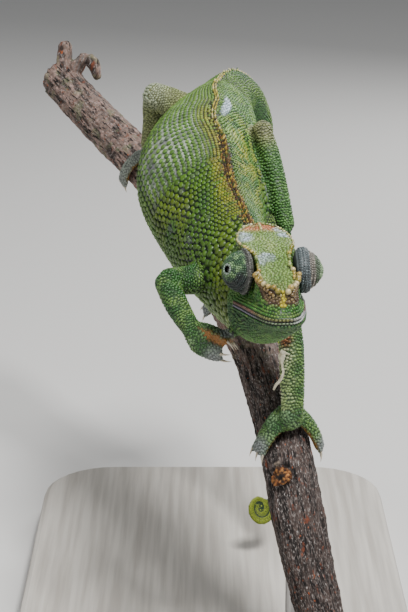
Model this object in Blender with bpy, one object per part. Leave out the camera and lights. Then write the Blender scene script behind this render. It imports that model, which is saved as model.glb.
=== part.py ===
"""Life-size Fischer's chameleon, a female climbing head first down a cut branch, on a plain display stand.

All the sizes below are in millimetres. +Z is up, the animal comes towards -Y, and the origin is the
middle of the underside of the stand's base.
"""

import math
from collections import namedtuple

import bmesh
import bpy
from mathutils import Matrix, Vector

MM = 0.001
GAP = 0.3
UP = Vector((0, 0, 1))

# One place along a body, limb or branch: where its middle is, how far it reaches to each side and
# towards back and belly, and which way its back faces.
Girth = namedtuple("Girth", "centre half_width half_height back")

# The trunk and the neck, from inside the head to the hips, with the belly sagging to the animal's right
TRUNK = [
    Girth((9.3, -33.5, 81.3), 4.4, 6.8, (0.08, 0, 1)),
    Girth((7.4, -25.5, 80.1), 5.8, 9.0, (0.12, 0, 1)),
    Girth((5.0, -17.0, 81.0), 7.3, 10.2, (0.13, 0, 1)),
    Girth((1.5, -6.0, 83.6), 8.9, 11.8, (0.15, 0, 1)),
    Girth((-0.6, 4.3, 87.2), 11.4, 13.0, (0.15, 0, 1)),
    Girth((-3.0, 15.0, 92.0), 12.5, 13.3, (0.24, 0, 1)),
    Girth((-1.2, 24.8, 96.4), 11.9, 12.1, (0.24, 0, 1)),
    Girth((1.3, 33.4, 100.6), 8.3, 9.0, (0.04, 0, 1)),
]
# The tail, from the hips over a tight bend to where it hangs down behind the branch
TAIL = [
    Girth((3.6, 39.6, 103.2), 5.4, 6.4, (0.12, 0.2, 1)),
    Girth((6.8, 44.4, 101.2), 5.0, 5.7, (0.40, 0.6, 0.66)),
    Girth((8.9, 46.3, 96.2), 4.5, 5.1, (0.55, 0.7, 0.45)),
    Girth((9.5, 45.4, 89.8), 3.9, 4.4, (0.60, 0.8, 0.1)),
    Girth((10.6, 42.2, 80.0), 3.3, 3.8, (0.60, 0.8, -0.1)),
    Girth((12.0, 37.4, 67.5), 2.9, 3.3, (0.58, 0.75, -0.25)),
    Girth((13.2, 30.4, 52.5), 2.4, 2.7, (0.60, 0.71, -0.28)),
    Girth((13.7, 23.4, 38.0), 1.9, 2.05, (0.68, 0.62, -0.30)),
    Girth((13.5, 17.6, 26.4), 1.4, 1.5, (0.76, 0.55, -0.31)),
]
# The coil that ends the tail: a flat spiral that curls towards the belly side
COIL_START = Vector((13.0, 13.5, 17.6))
COIL_HEADING = Vector((-0.01, -0.50, -0.86)).normalized()
COIL_INWARD = Vector((-0.80, -0.50, 0.30)).normalized()
COIL_RADIUS = 3.5
COIL_PITCH = 1.72
COIL_TURNS = 1.75
COIL_THICK = 0.95
COIL_TIP = 0.35
COIL_KEYS = 14

# Where the trunk and the tail are parted, as places counted in girths
NECK_END = 2.3
TORSO_END = 7.3
TAIL_ENDS = (9.6, 12.0, 14.0, 16.0, 21.5, 27.0)
TAIL_NAMES = (
    "tail_base", "tail_upper", "tail_middle", "tail_lower", "tail_coil_outer", "tail_coil_inner", "tail_tip",
)

# The branch, from its broken upper end to the cut end that the peg holds
BRANCH = [
    Girth((-37.4, 86.2, 99.2), 4.8, 4.8, (0, 0, 1)),
    Girth((-25.5, 66.5, 91.8), 4.9, 4.9, (0, 0, 1)),
    Girth((-14.5, 49.7, 85.1), 4.9, 4.9, (0, 0, 1)),
    Girth((-7.7, 36.4, 80.0), 4.9, 4.9, (0, 0, 1)),
    Girth((-1.3, 20.8, 73.2), 4.8, 4.8, (0, 0, 1)),
    Girth((4.7, 4.6, 65.8), 4.8, 4.8, (0, 0, 1)),
    Girth((9.1, -8.0, 59.7), 4.8, 4.8, (0, -0.2, 1)),
    Girth((12.2, -19.5, 52.2), 4.9, 4.9, (0, -0.5, 1)),
    Girth((14.0, -27.6, 45.6), 5.1, 5.1, (0, -0.8, 0.8)),
    Girth((15.5, -33.4, 38.8), 5.2, 5.2, (0, -1, 0.5)),
    Girth((17.5, -38.0, 30.2), 4.8, 4.8, (0, -1, 0.4)),
    Girth((19.8, -41.8, 21.2), 4.4, 4.4, (0, -1, 0.4)),
    Girth((21.4, -44.2, 15.0), 4.3, 4.3, (0, -1, 0.4)),
]
BRANCH_STEPS = 24
BRANCH_SIDES = 16
BARK_WAVES = ((3, 0.030, 0.7), (5, 0.018, 1.9), (2, 0.022, -1.3))

# Stubs of broken twigs at the upper end, then the scars of cut ones: place along the branch, angle round
# it, how far each stands out and its radius
STUBS = [
    ([((-35.9, 83.3, 101.6), 2.4), ((-35.7, 84.2, 107.2), 1.9)], 3),
    ([((-33.8, 82.6, 101.4), 2.2), ((-31.0, 81.2, 105.0), 1.8), ((-28.6, 79.2, 104.2), 1.6),
      ((-27.5, 77.6, 101.4), 1.2)], 6),
]
SCARS = [(8.45, -24, 0.9, 2.2), (8.14, -28, 0.4, 1.3), (1.95, 74, 0.5, 1.3), (3.2, 150, 1.0, 1.7)]

# The stand
BASE_SIZE = (80, 120, 8)
BASE_CORNER = 16
BASE_EDGE = 1.2
ROD_RADIUS = 1.6
PEG_AT = (21.2, -44.0)
REAR_ROD_AT = (15.6, -26.5)

# The head: the middle between the eye turrets, and how the head is turned
HEAD_AT = Vector((10.0, -39.8, 88.2))
HEAD_YAW = 8.5
HEAD_LIFT = 5
HEAD_LEAN = 1

# Head sections from the snout to the tip of the casque, in the head's own frame: x towards the snout
# and z up from the line between the eyes. Each names the crown, the rim that the brow and the casque
# make, the cheek, the lips and the lower jaw.
HeadCut = namedtuple("HeadCut", "x crown rim_y rim_z cheek lip_y lip_z jaw_y jaw_z")
HEAD = [
    HeadCut(12.6, -5.7, 0.6, -5.7, 1.0, 1.5, -6.5, 1.2, -7.3),
    HeadCut(11.9, -5.3, 1.1, -5.3, 1.7, 2.3, -6.5, 2.0, -7.8),
    HeadCut(11.2, -4.7, 1.5, -4.6, 2.2, 2.9, -6.4, 2.6, -7.9),
    HeadCut(10.6, -2.4, 1.4, -2.3, 2.7, 3.3, -6.4, 3.0, -8.0),
    HeadCut(9.9, -1.8, 1.4, -1.6, 3.1, 3.6, -6.35, 3.3, -8.2),
    HeadCut(8.5, -1.7, 2.1, -1.1, 3.5, 4.1, -6.3, 3.9, -8.6),
    HeadCut(6.5, -1.1, 3.2, -0.5, 4.0, 4.8, -6.2, 4.6, -9.2),
    HeadCut(4.0, 0.2, 3.65, 0.6, 4.1, 5.4, -6.2, 5.2, -10.3),
    HeadCut(0.0, 2.3, 3.6, 2.7, 4.3, 6.1, -6.3, 5.8, -12.4),
    HeadCut(-3.5, 3.6, 4.2, 3.8, 5.2, 6.7, -6.5, 6.3, -14.2),
    HeadCut(-7.0, 4.6, 5.1, 4.3, 6.3, 7.0, -6.9, 6.4, -14.9),
    HeadCut(-10.0, 5.3, 4.55, 4.9, 5.75, 6.0, -6.5, 5.5, -13.0),
    HeadCut(-12.3, 5.8, 3.1, 5.6, 3.5, 3.5, -1.5, 2.9, -5.5),
    HeadCut(-14.0, 6.0, 1.3, 5.9, 1.3, 1.1, 3.8, 0.9, 2.6),
]
HEAD_STEPS = 2

# The line of the mouth seen from the side, from the lips to its corner, and the back of the jaw below
MOUTH = [(13.5, -6.5), (9.8, -6.35), (6.0, -6.2), (2.0, -6.2), (-2.0, -6.35), (-5.2, -6.6), (-7.4, -7.3)]
JAW_BACK = [(-8.4, -10.4), (-9.4, -13.0), (-9.9, -18.0)]

# The eye turrets: a ring and a dome of skin on each side of the head, as (radius, height) places, with
# raised lids round a small opening that looks along the aim
TURRET_Y = 5.1
TURRET_PROFILE = {
    "left": [(0.5, 3.88), (1.5, 3.62), (2.4, 3.08), (3.05, 2.42), (3.4, 1.85), (3.42, 1.5), (3.85, 1.62),
             (4.2, 1.15), (4.3, 0.4), (4.15, -0.3), (3.6, -0.9), (2.4, -1.35), (1.2, -1.5)],
    "right": [(0.5, 3.88), (1.5, 3.62), (2.4, 3.08), (3.1, 2.3), (3.6, 1.4), (3.78, 0.75), (3.68, 0.45),
              (4.02, 0.5), (4.3, 0.1), (4.2, -0.4), (3.6, -0.9), (2.4, -1.35), (1.2, -1.5)],
}
TURRET_FACES = (0.12, 0.99, 0.06)
LID_PROFILE = [(0.7, 4.1), (1.15, 3.95), (1.7, 3.5), (1.9, 2.8), (1.2, 2.2)]
TURRET_SIDES = 16
OPENING = [(1.1, 4.6), (0.6, 4.12), (0.6, 3.7), (1.05, 3.4), (1.1, 2.3), (0.6, 1.8)]
EYEBALL_RADIUS = 0.78
EYEBALL_AT = 2.95
TURRET_AIM = {"right": (0.50, -0.83, 0.23), "left": (-0.03, 0.99, -0.10)}

NOSTRIL_AT = (9.4, 3.2, -3.2)
NOSTRIL_RADIUS = 0.5

# Rows of swollen scales on the head: along the snout's ridges, the brows, the casque and its midline
BEAD_SIDES = 6
SNOUT_BEADS = [(3.4, 3.85, 0.85, 0.52), (4.9, 3.75, 0.25, 0.54), (6.2, 3.35, -0.35, 0.56), (7.3, 2.8, -0.65, 0.58),
               (8.4, 2.2, -0.95, 0.60), (9.4, 1.5, -1.3, 0.62), (10.2, 0.74, -1.55, 0.72)]
BROW_BEADS = [(2.1, 3.55, 1.7, 0.48), (0.8, 3.4, 2.35, 0.48), (-0.6, 3.4, 2.95, 0.48), (-2.0, 3.7, 3.45, 0.48)]
CASQUE_BEADS = [(-3.5, 4.35, 3.75, 0.46), (-5.2, 4.9, 4.0, 0.46), (-6.9, 5.1, 4.25, 0.46), (-8.5, 4.9, 4.55, 0.46),
                (-10.0, 4.5, 4.9, 0.46), (-11.3, 3.8, 5.3, 0.48), (-12.4, 3.05, 5.6, 0.50), (-13.4, 1.9, 5.8, 0.52)]
MIDLINE_BEADS = [(-14.1, 0.0, 6.0, 0.62), (-12.3, 0.0, 5.8, 0.5), (-10.6, 0.0, 5.4, 0.48), (-8.9, 0.0, 5.0, 0.45)]

# Limbs: joints from the body outwards, and the limb's half thickness at each
ARM_LEFT = [((6.5, -11.0, 79.5), 3.2), ((10.6, -16.0, 76.0), 2.8), ((14.2, -21.6, 73.2), 2.4)]
FOREARM_LEFT = [((14.3, -21.8, 73.0), 2.45), ((14.6, -25.4, 65.4), 2.5), ((14.7, -28.0, 58.4), 2.35)]
ARM_RIGHT = [((3.0, -11.0, 80.0), 3.8), ((-3.2, -16.2, 79.4), 3.1), ((-8.4, -20.2, 80.4), 2.6)]
FOREARM_RIGHT = [((-9.0, -20.8, 80.1), 2.5), ((-6.9, -27.2, 77.4), 2.3), ((-4.0, -33.2, 74.6), 1.85)]
THIGH_LEFT = [((3.0, 31.0, 97.6), 4.2), ((7.6, 23.4, 96.8), 3.0), ((10.0, 15.0, 101.8), 2.2)]
SHANK_LEFT = [((10.1, 14.6, 101.6), 2.2), ((12.2, 8.4, 94.4), 2.2), ((14.3, 2.2, 85.4), 2.05)]
THIGH_RIGHT = [((-1.0, 31.0, 98.2), 4.4), ((-7.0, 33.6, 102.8), 3.5), ((-12.6, 35.1, 105.2), 2.8)]
SHANK_RIGHT = [((-12.9, 35.3, 104.8), 2.7), ((-13.0, 38.4, 99.0), 2.4), ((-14.2, 41.6, 93.0), 1.95)]
LIMB_SIDES = 12
END_LEANS = (18, 58)
LIMB_STEPS = 4

# Feet: a short sole and two bundles of toes that oppose each other. A girth's back faces off the perch.
Toes = namedtuple("Toes", "name path half_width half_height backs count")
SOLE_SIDES = 9
TOE_RADIUS = 0.86
TOE_REACH = 0.8
CLAW_LENGTH = 1.5
CLAW_RADIUS = 0.34

# Crest: small cones along the back, from the nape to the root of the tail
SPINE_HEIGHT = 0.75
SPINE_RADIUS = 0.55
SPINE_SPACING = 1.55
SPINE_SIDES = 4
SPINE_SUNK = 0.7
CREST_SPAN = (2.7, 12.0)

COLOURS = {
    "skin_green": (0.16, 0.36, 0.10),
    "skin_pale": (0.42, 0.50, 0.30),
    "casque": (0.45, 0.42, 0.28),
    "eye": (0.01, 0.01, 0.01),
    "bark": (0.20, 0.15, 0.13),
    "stand": (0.70, 0.70, 0.68),
    "rod": (0.45, 0.45, 0.46),
}


# Curves
def between(keys, t):
    """The value at t of a smooth curve through equally spaced numbers or vectors."""
    last = len(keys) - 1
    start = max(0, min(int(t), last - 1))
    f = t - start
    a, b = keys[start], keys[start + 1]
    before = keys[start - 1] if start > 0 else a * 2 - b
    after = keys[start + 2] if start + 2 <= last else b * 2 - a
    return (
        a
        + (b - before) * (0.5 * f)
        + (before * 2 - a * 5 + b * 4 - after) * (0.5 * f * f)
        + (a * 3 - b * 3 + after - before) * (0.5 * f * f * f)
    )


def frame_at(girths, t):
    """Middle, heading, sideways and back directions of a swept form at t."""
    centres = [Vector(g.centre) for g in girths]
    step = 0.02
    heading = (between(centres, t + step) - between(centres, t - step)).normalized()
    back = between([Vector(g.back) for g in girths], t)
    side = heading.cross(back).normalized()
    return between(centres, t), heading, side, side.cross(heading).normalized()


def sizes_at(girths, t):
    return (
        between([g.half_width for g in girths], t),
        between([g.half_height for g in girths], t),
    )


# Meshes
def material_named(name):
    made = bpy.data.materials.get(name)
    if made:
        return made
    made = bpy.data.materials.new(name)
    made.use_nodes = True
    shader = made.node_tree.nodes["Principled BSDF"]
    shader.inputs["Base Color"].default_value = (*COLOURS[name], 1)
    shader.inputs["Roughness"].default_value = 0.3 if name in ("eye", "rod") else 0.65
    shader.inputs["Metallic"].default_value = 1.0 if name == "rod" else 0.0
    return made


def object_from(name, mesh_data, material):
    """A closed bmesh in millimetres as a named object in metres, its faces pointing out."""
    bmesh.ops.recalc_face_normals(mesh_data, faces=mesh_data.faces)
    bmesh.ops.scale(mesh_data, vec=(MM, MM, MM), verts=mesh_data.verts)
    mesh = bpy.data.meshes.new(name)
    mesh_data.to_mesh(mesh)
    mesh_data.free()
    mesh.materials.append(material_named(material))
    mesh.shade_smooth()
    made = bpy.data.objects.new(name, mesh)
    model.objects.link(made)
    return made


def loft(name, rings, material):
    """A closed body through rings of points, its two ends closed by a fan."""
    shape = bmesh.new()
    rows = [[shape.verts.new(p) for p in ring] for ring in rings]
    for row, after in zip(rows, rows[1:]):
        for i in range(len(row)):
            j = (i + 1) % len(row)
            shape.faces.new((row[i], row[j], after[j], after[i]))
    for row in (rows[0], rows[-1]):
        middle = shape.verts.new(sum((v.co for v in row), Vector()) / len(row))
        for i in range(len(row)):
            shape.faces.new((row[i], row[(i + 1) % len(row)], middle))
    return object_from(name, shape, material)


def oval(half_width, half_height, angle):
    return half_width * math.sin(angle), half_height * math.cos(angle)


def keeled(half_width, half_height, angle):
    """A section of the trunk: fuller towards the belly, with a low keel along the back."""
    keel = 0.5 * max(0.0, math.cos(angle)) ** 40
    return half_width * math.sin(angle) * (1 - 0.12 * math.cos(angle)), half_height * math.cos(angle) + keel


def barky(half_width, half_height, angle, t):
    swell = 1 + sum(depth * math.sin(waves * angle + turn * t) for waves, depth, turn in BARK_WAVES)
    return half_width * swell * math.sin(angle), half_height * swell * math.cos(angle)


def ring_at(girths, t, sides, grow=0.0, section=oval, scale=1.0, shift=0.0):
    middle, heading, side, back = frame_at(girths, t)
    half_width, half_height = sizes_at(girths, t)
    points = []
    for i in range(sides):
        angle = 2 * math.pi * i / sides
        if section is barky:
            out, high = barky(half_width + grow, half_height + grow, angle, t)
        else:
            out, high = section(half_width + grow, half_height + grow, angle)
        points.append(middle + heading * shift + (side * out + back * high) * scale)
    return points


def steps_between(start, end, count):
    return [start + (end - start) * i / count for i in range(count + 1)]


def length_of(girths, start, end):
    centres = [Vector(g.centre) for g in girths]
    places = [between(centres, t) for t in steps_between(start, end, 24)]
    return sum((b - a).length for a, b in zip(places, places[1:]))


def swept(name, girths, start, end, steps, sides, material, section=oval, grow=0.0):
    """A length of a swept form with flat ends."""
    rings = [ring_at(girths, t, sides, grow, section) for t in steps_between(start, end, steps)]
    return loft(name, rings, material)


def rounded(name, girths, steps, sides, material, grow=0.0):
    """A limb with round ends."""
    last = len(girths) - 1
    rings = []
    for lean in reversed(END_LEANS):
        back = -(girths[0].half_height + grow) * math.sin(math.radians(lean))
        rings.append(ring_at(girths, 0, sides, grow, scale=math.cos(math.radians(lean)), shift=back))
    rings += [ring_at(girths, t, sides, grow) for t in steps_between(0, last, steps)][1:-1]
    for lean in END_LEANS:
        ahead = (girths[-1].half_height + grow) * math.sin(math.radians(lean))
        rings.append(ring_at(girths, last, sides, grow, scale=math.cos(math.radians(lean)), shift=ahead))
    return loft(name, rings, material)


# Joining and cutting
def apply_modifiers(piece):
    graph = bpy.context.evaluated_depsgraph_get()
    mesh = bpy.data.meshes.new_from_object(piece.evaluated_get(graph))
    piece.modifiers.clear()
    piece.data = mesh


def keep_largest(piece):
    """Leaves only the largest closed surface of a mesh."""
    shape = bmesh.new()
    shape.from_mesh(piece.data)
    left = set(shape.verts)
    shells = []
    while left:
        shell, front = set(), [left.pop()]
        while front:
            vertex = front.pop()
            shell.add(vertex)
            for edge in vertex.link_edges:
                other = edge.other_vert(vertex)
                if other in left:
                    left.discard(other)
                    front.append(other)
        shells.append(shell)
    shells.sort(key=lambda shell: spread(shell), reverse=True)
    bmesh.ops.delete(shape, geom=[v for shell in shells[1:] for v in shell], context="VERTS")
    shape.to_mesh(piece.data)
    shape.free()


def spread(shell):
    """The diagonal of the box round some vertices."""
    low = Vector(min(v.co[i] for v in shell) for i in range(3))
    high = Vector(max(v.co[i] for v in shell) for i in range(3))
    return (high - low).length


def combine(piece, operation, tools):
    """One Boolean of a piece with a collection of tools, which are then removed."""
    gathered = bpy.data.collections.new("tools")
    bpy.context.scene.collection.children.link(gathered)
    for tool in tools:
        model.objects.unlink(tool)
        gathered.objects.link(tool)
    boolean = piece.modifiers.new("boolean", "BOOLEAN")
    boolean.operation = operation
    boolean.solver = "MANIFOLD"
    boolean.operand_type = "COLLECTION"
    boolean.collection = gathered
    apply_modifiers(piece)
    for tool in list(gathered.objects):
        bpy.data.objects.remove(tool)
    bpy.data.collections.remove(gathered)
    keep_largest(piece)
    piece.data.shade_smooth()
    return piece


def grown_copy(piece, grow):
    """A copy of a mesh with its surface moved out by grow millimetres."""
    copy = piece.copy()
    copy.data = piece.data.copy()
    model.objects.link(copy)
    shape = bmesh.new()
    shape.from_mesh(copy.data)
    bmesh.ops.remove_doubles(shape, verts=shape.verts, dist=0.00001)
    shape.normal_update()
    moved = [v.co + v.normal * v.calc_shell_factor() * grow * MM for v in shape.verts]
    for vertex, place in zip(shape.verts, moved):
        vertex.co = place
    shape.to_mesh(copy.data)
    shape.free()
    return copy


def copy_of(piece):
    return grown_copy(piece, 0.0)


# Trunk and tail
def coil_girths():
    """The coil's girths, worked out along a flat spiral."""
    girths = []
    for i in range(COIL_KEYS):
        share = i / (COIL_KEYS - 1)
        turn = share * COIL_TURNS
        angle = 2 * math.pi * turn
        radius = COIL_RADIUS - COIL_PITCH * turn
        outward = COIL_HEADING * math.sin(angle) - COIL_INWARD * math.cos(angle)
        centre = COIL_START + COIL_INWARD * COIL_RADIUS + outward * radius
        thick = COIL_THICK + (COIL_TIP - COIL_THICK) * share
        girths.append(Girth(tuple(centre), thick * 0.92, thick, tuple(outward)))
    return girths


def spine_of_crest(girths, t, size):
    """One cone of the crest, leaning a little towards the tail."""
    middle, heading, side, back = frame_at(girths, t)
    half_height = sizes_at(girths, t)[1]
    root = middle + back * (half_height + 0.4 - SPINE_SUNK)
    reach = (back + heading * 0.35).normalized()
    height = SPINE_HEIGHT * size
    rings = []
    for along, width in ((0.0, 1.0), (SPINE_SUNK, 0.95), (SPINE_SUNK + height, 0.12)):
        rings.append([
            root + reach * along
            + (side * math.sin(a) + heading * math.cos(a)) * (SPINE_RADIUS * size * width)
            for a in (2 * math.pi * i / SPINE_SIDES for i in range(SPINE_SIDES))
        ])
    return loft("spine", rings, "skin_pale")


def crest_between(girths, start, end):
    """The cones of the crest whose places fall between start and end."""
    spines = []
    t, count = CREST_SPAN[0], 0
    while t < CREST_SPAN[1]:
        size = 0.85 + 0.25 * math.sin(1.7 * count)
        fade = 1.0 if t < 7.5 else max(0.55, 1 - 0.1 * (t - 7.5))
        if start + 0.06 < t < end - 0.06:
            spines.append(spine_of_crest(girths, t, size * fade))
        t += SPINE_SPACING / length_of(girths, t, t + 1)
        count += 1
    return spines


def part_gap(girths, t):
    """Half the gap at a parting, counted in girths."""
    return 0.5 * GAP / length_of(girths, t - 0.5, t + 0.5)


def trunk_and_tail(girths):
    torso = swept("torso", girths, NECK_END + part_gap(girths, NECK_END),
                  TORSO_END - part_gap(girths, TORSO_END), 18, 24, "skin_green", keeled)
    combine(torso, "UNION", crest_between(girths, NECK_END, TORSO_END))
    neck = swept("neck", girths, 0, NECK_END - part_gap(girths, NECK_END), 6, 24, "skin_green", keeled)
    start = TORSO_END
    ends = (*TAIL_ENDS, len(girths) - 1)
    for name, end in zip(TAIL_NAMES, ends):
        low = start + part_gap(girths, start)
        high = end - (part_gap(girths, end) if name != TAIL_NAMES[-1] else 0)
        sides = 20 if name == "tail_base" else 12
        steps = {"tail_base": 10, "tail_coil_outer": 9, "tail_coil_inner": 8, "tail_tip": 4}.get(name, 7)
        section = keeled if name == "tail_base" else oval
        length = swept(name, girths, low, high, steps, sides, "skin_green", section)
        spines = crest_between(girths, start, end)
        if spines:
            combine(length, "UNION", spines)
        start = end
    return neck


# Head
def head_matrix():
    yaw, lift, lean = (math.radians(a) for a in (HEAD_YAW, HEAD_LIFT, HEAD_LEAN))
    snout = Vector((math.sin(yaw) * math.cos(lift), -math.cos(yaw) * math.cos(lift), math.sin(lift)))
    left = UP.cross(snout).normalized()
    top = snout.cross(left)
    top, left = top * math.cos(lean) + left * math.sin(lean), left * math.cos(lean) - top * math.sin(lean)
    return Matrix.Translation(HEAD_AT) @ Matrix((snout, left, top)).transposed().to_4x4()


def head_ring(cut):
    """Points round one section of the head, from its named sizes."""
    mid_z = cut.rim_z * 0.55 + cut.lip_z * 0.45
    low_z = cut.lip_z + (cut.jaw_z - cut.lip_z) * 0.55
    half = [
        Vector((0, cut.crown)),
        Vector((cut.rim_y * 0.6, cut.crown * 0.6 + cut.rim_z * 0.4)),
        Vector((cut.rim_y, cut.rim_z)),
        Vector((cut.cheek, mid_z)),
        Vector((cut.cheek * 0.96, mid_z * 0.4 + (cut.lip_z + 0.9) * 0.6)),
        Vector((cut.lip_y, cut.lip_z + 0.8)),
        Vector((cut.lip_y, cut.lip_z - 0.9)),
        Vector((cut.jaw_y, low_z)),
        Vector((cut.jaw_y * 0.55, cut.jaw_z + (cut.lip_z - cut.jaw_z) * 0.1)),
        Vector((0, cut.jaw_z)),
    ]
    loop = half + [Vector((-p.x, p.y)) for p in reversed(half[1:-1])]
    padded = loop[-1:] + loop + loop[:2]
    return [
        Vector((cut.x, p.x, p.y))
        for p in (between(padded, 1 + i / 2) for i in range(2 * len(loop)))
    ]


def whole_head(name):
    values = [Vector(cut) for cut in HEAD]
    cuts = [HeadCut(*between(values, i / HEAD_STEPS)) for i in range(HEAD_STEPS * (len(HEAD) - 1) + 1)]
    place = head_matrix()
    return loft(name, [[place @ p for p in head_ring(cut)] for cut in cuts], "skin_green")


def jaw_block(name, shift):
    """A block with the line of the mouth along its top, to divide the lower jaw from the head."""
    line = MOUTH + JAW_BACK
    line = [(x - shift, z + shift) for x, z in line]
    outline = line + [(20, -18 + shift)] + [(20, line[0][1])]
    place = head_matrix()
    rings = [[place @ Vector((x, y, z)) for x, z in outline] for y in (-12, 12)]
    shape = bmesh.new()
    sides = [[shape.verts.new(p) for p in ring] for ring in rings]
    for i in range(len(outline)):
        j = (i + 1) % len(outline)
        shape.faces.new((sides[0][i], sides[0][j], sides[1][j], sides[1][i]))
    shape.faces.new(sides[0])
    shape.faces.new(list(reversed(sides[1])))
    return object_from(name, shape, "skin_green")


def ball(name, centre, radius, material, rows=4, sides=BEAD_SIDES):
    shape = bmesh.new()
    bmesh.ops.create_uvsphere(shape, u_segments=sides, v_segments=rows, radius=radius)
    bmesh.ops.translate(shape, vec=centre, verts=shape.verts)
    return object_from(name, shape, material)


def head_beads():
    place = head_matrix()
    beads = []
    for x, y, z, radius in SNOUT_BEADS + BROW_BEADS + CASQUE_BEADS:
        beads += [ball("bead", place @ Vector((x, side * y, z)), radius, "casque") for side in (1, -1)]
    beads += [ball("bead", place @ Vector((x, y, z)), radius, "casque") for x, y, z, radius in MIDLINE_BEADS]
    return beads


def turret_frame(side, direction):
    """Where a turret stands on the head, with +Z along a direction in the head's own frame."""
    y = TURRET_Y if side == "left" else -TURRET_Y
    turn = Vector(direction).normalized().to_track_quat("Z", "Y").to_matrix().to_4x4()
    return head_matrix() @ Matrix.Translation((0, y, 0)) @ turn


def ring_frame(side):
    forward, outward, up = TURRET_FACES
    return turret_frame(side, (forward, outward if side == "left" else -outward, up))


def turned(name, profile, place, sides, material, grow=0.0):
    """A turned body from (radius, height) places, set in a frame."""
    rings = []
    for radius, height in profile:
        radius, height = radius + grow, height + grow * (1 if height > 0 else -1)
        rings.append([
            place @ Vector((radius * math.cos(a), radius * math.sin(a), height))
            for a in (2 * math.pi * i / sides for i in range(sides))
        ])
    return loft(name, rings, material)


def eye_turret(side):
    aim = turret_frame(side, TURRET_AIM[side])
    turret = turned("eye_turret_" + side, TURRET_PROFILE[side], ring_frame(side), TURRET_SIDES, "skin_pale")
    combine(turret, "UNION", [turned("lids", LID_PROFILE, aim, 12, "skin_pale")])
    combine(turret, "DIFFERENCE", [turned("opening", OPENING, aim, 12, "skin_pale")])
    ball("eyeball_" + side, aim @ Vector((0, 0, EYEBALL_AT)), EYEBALL_RADIUS, "eye", 8, 12)


def head_and_jaw():
    head = whole_head("head")
    jaw = copy_of(head)
    jaw.name = "lower_jaw"
    combine(jaw, "INTERSECT", [jaw_block("block", 0.0)])
    combine(head, "DIFFERENCE", [jaw_block("block", GAP)])
    combine(head, "UNION", head_beads())
    sockets = [
        turned("socket", TURRET_PROFILE[side], ring_frame(side), TURRET_SIDES, "skin_pale", GAP)
        for side in ("left", "right")
    ]
    place = head_matrix()
    nostrils = [
        ball("nostril", place @ Vector((NOSTRIL_AT[0], side * NOSTRIL_AT[1], NOSTRIL_AT[2])),
             NOSTRIL_RADIUS, "eye", 6)
        for side in (1, -1)
    ]
    combine(head, "DIFFERENCE", sockets + nostrils)
    for side in ("left", "right"):
        eye_turret(side)


# Limbs and feet
def limb_girths(joints, back=(0, 0, 1)):
    return [Girth(place, radius, radius, back) for place, radius in joints]


def limb(name, joints, cutters, back=(0, 0, 1), grow=0.0):
    made = rounded(name, limb_girths(joints, back), LIMB_STEPS, LIMB_SIDES, "skin_green", grow)
    if cutters:
        combine(made, "DIFFERENCE", cutters)
    return made


def claw(tip, heading, back, material):
    """A curved claw that leaves the end of a toe and bends away from the toe's back."""
    rings = []
    for along, drop, width in ((-0.6, 0.0, 1.0), (0.35, 0.0, 0.85), (0.75, 0.12, 0.5), (1.0, 0.34, 0.12)):
        centre = tip + heading * (along * CLAW_LENGTH) - back * (drop * CLAW_LENGTH)
        side = heading.cross(back)
        rings.append([
            centre + (side * math.sin(a) + back * math.cos(a)) * (CLAW_RADIUS * width)
            for a in (2 * math.pi * i / 4 for i in range(4))
        ])
    return loft("claw", rings, material)


def toe_bundle(toes, cutters):
    """A fused bundle of two or three toes with their claws."""
    girths = [
        Girth(place, width, height, back)
        for place, width, height, back in zip(toes.path, toes.half_width, toes.half_height, toes.backs)
    ]
    bundle = rounded(toes.name, girths, LIMB_STEPS, SOLE_SIDES, "skin_green")
    last = len(girths) - 1
    end, heading, side, back = frame_at(girths, last)
    extras = []
    for i in range(toes.count):
        offset = (i - (toes.count - 1) / 2) * (2 * girths[-1].half_width / toes.count)
        fan = (heading + side * (0.16 * offset)).normalized()
        root = end + side * offset - heading * 1.6
        tip = end + side * offset * 1.08 + fan * TOE_REACH
        joints = [(tuple(root), TOE_RADIUS), (tuple(tip), TOE_RADIUS * 0.9)]
        extras.append(rounded("toe", limb_girths(joints, tuple(back)), 2, 6, "skin_green"))
        extras.append(claw(tip + fan * (TOE_RADIUS * 0.7), fan, back, "skin_pale"))
    combine(bundle, "UNION", extras)
    if cutters:
        combine(bundle, "DIFFERENCE", cutters)
    return bundle


def branch_grown(grow=GAP):
    return swept("branch_space", BRANCH, 0, len(BRANCH) - 1, BRANCH_STEPS, BRANCH_SIDES, "bark", barky, grow)


def perch_place(t, round_angle, off):
    """A place off the branch's bark: round_angle is turned from the back side towards the animal's left."""
    middle, heading, side, back = frame_at(BRANCH, t)
    radius = sizes_at(BRANCH, t)[0]
    angle = math.radians(round_angle)
    outward = back * math.cos(angle) - side * math.sin(angle)
    return middle + outward * (radius + off), outward


def gripping_toes(name, t, angles, drift, count, half_width, half_height, off=0.5):
    """A bundle that reaches round the branch through the angles given, drifting along it as it goes."""
    path, backs = [], []
    for i, angle in enumerate(angles):
        place, outward = perch_place(t + drift * i / (len(angles) - 1), angle, half_height[i] + off)
        path.append(tuple(place))
        backs.append(tuple(outward))
    return Toes(name, path, half_width, half_height, backs, count)


def foot(label, sole_joints, inner, outer, shank):
    """A sole and its two bundles of toes, each cut clear of what it grows from and of the branch."""
    back = tuple(Vector(inner.backs[0]) + Vector(outer.backs[0]))
    girths = [Girth(place, radius * 1.15, radius * 0.95, back) for place, radius in sole_joints]
    sole = rounded("sole_" + label, girths, 4, SOLE_SIDES, "skin_green")
    combine(sole, "DIFFERENCE", [grown_copy(shank, GAP), branch_grown()])
    first = toe_bundle(inner, [grown_copy(sole, GAP), grown_copy(shank, GAP), branch_grown()])
    toe_bundle(outer, [grown_copy(sole, GAP), grown_copy(shank, GAP), grown_copy(first, GAP), branch_grown()])


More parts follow.
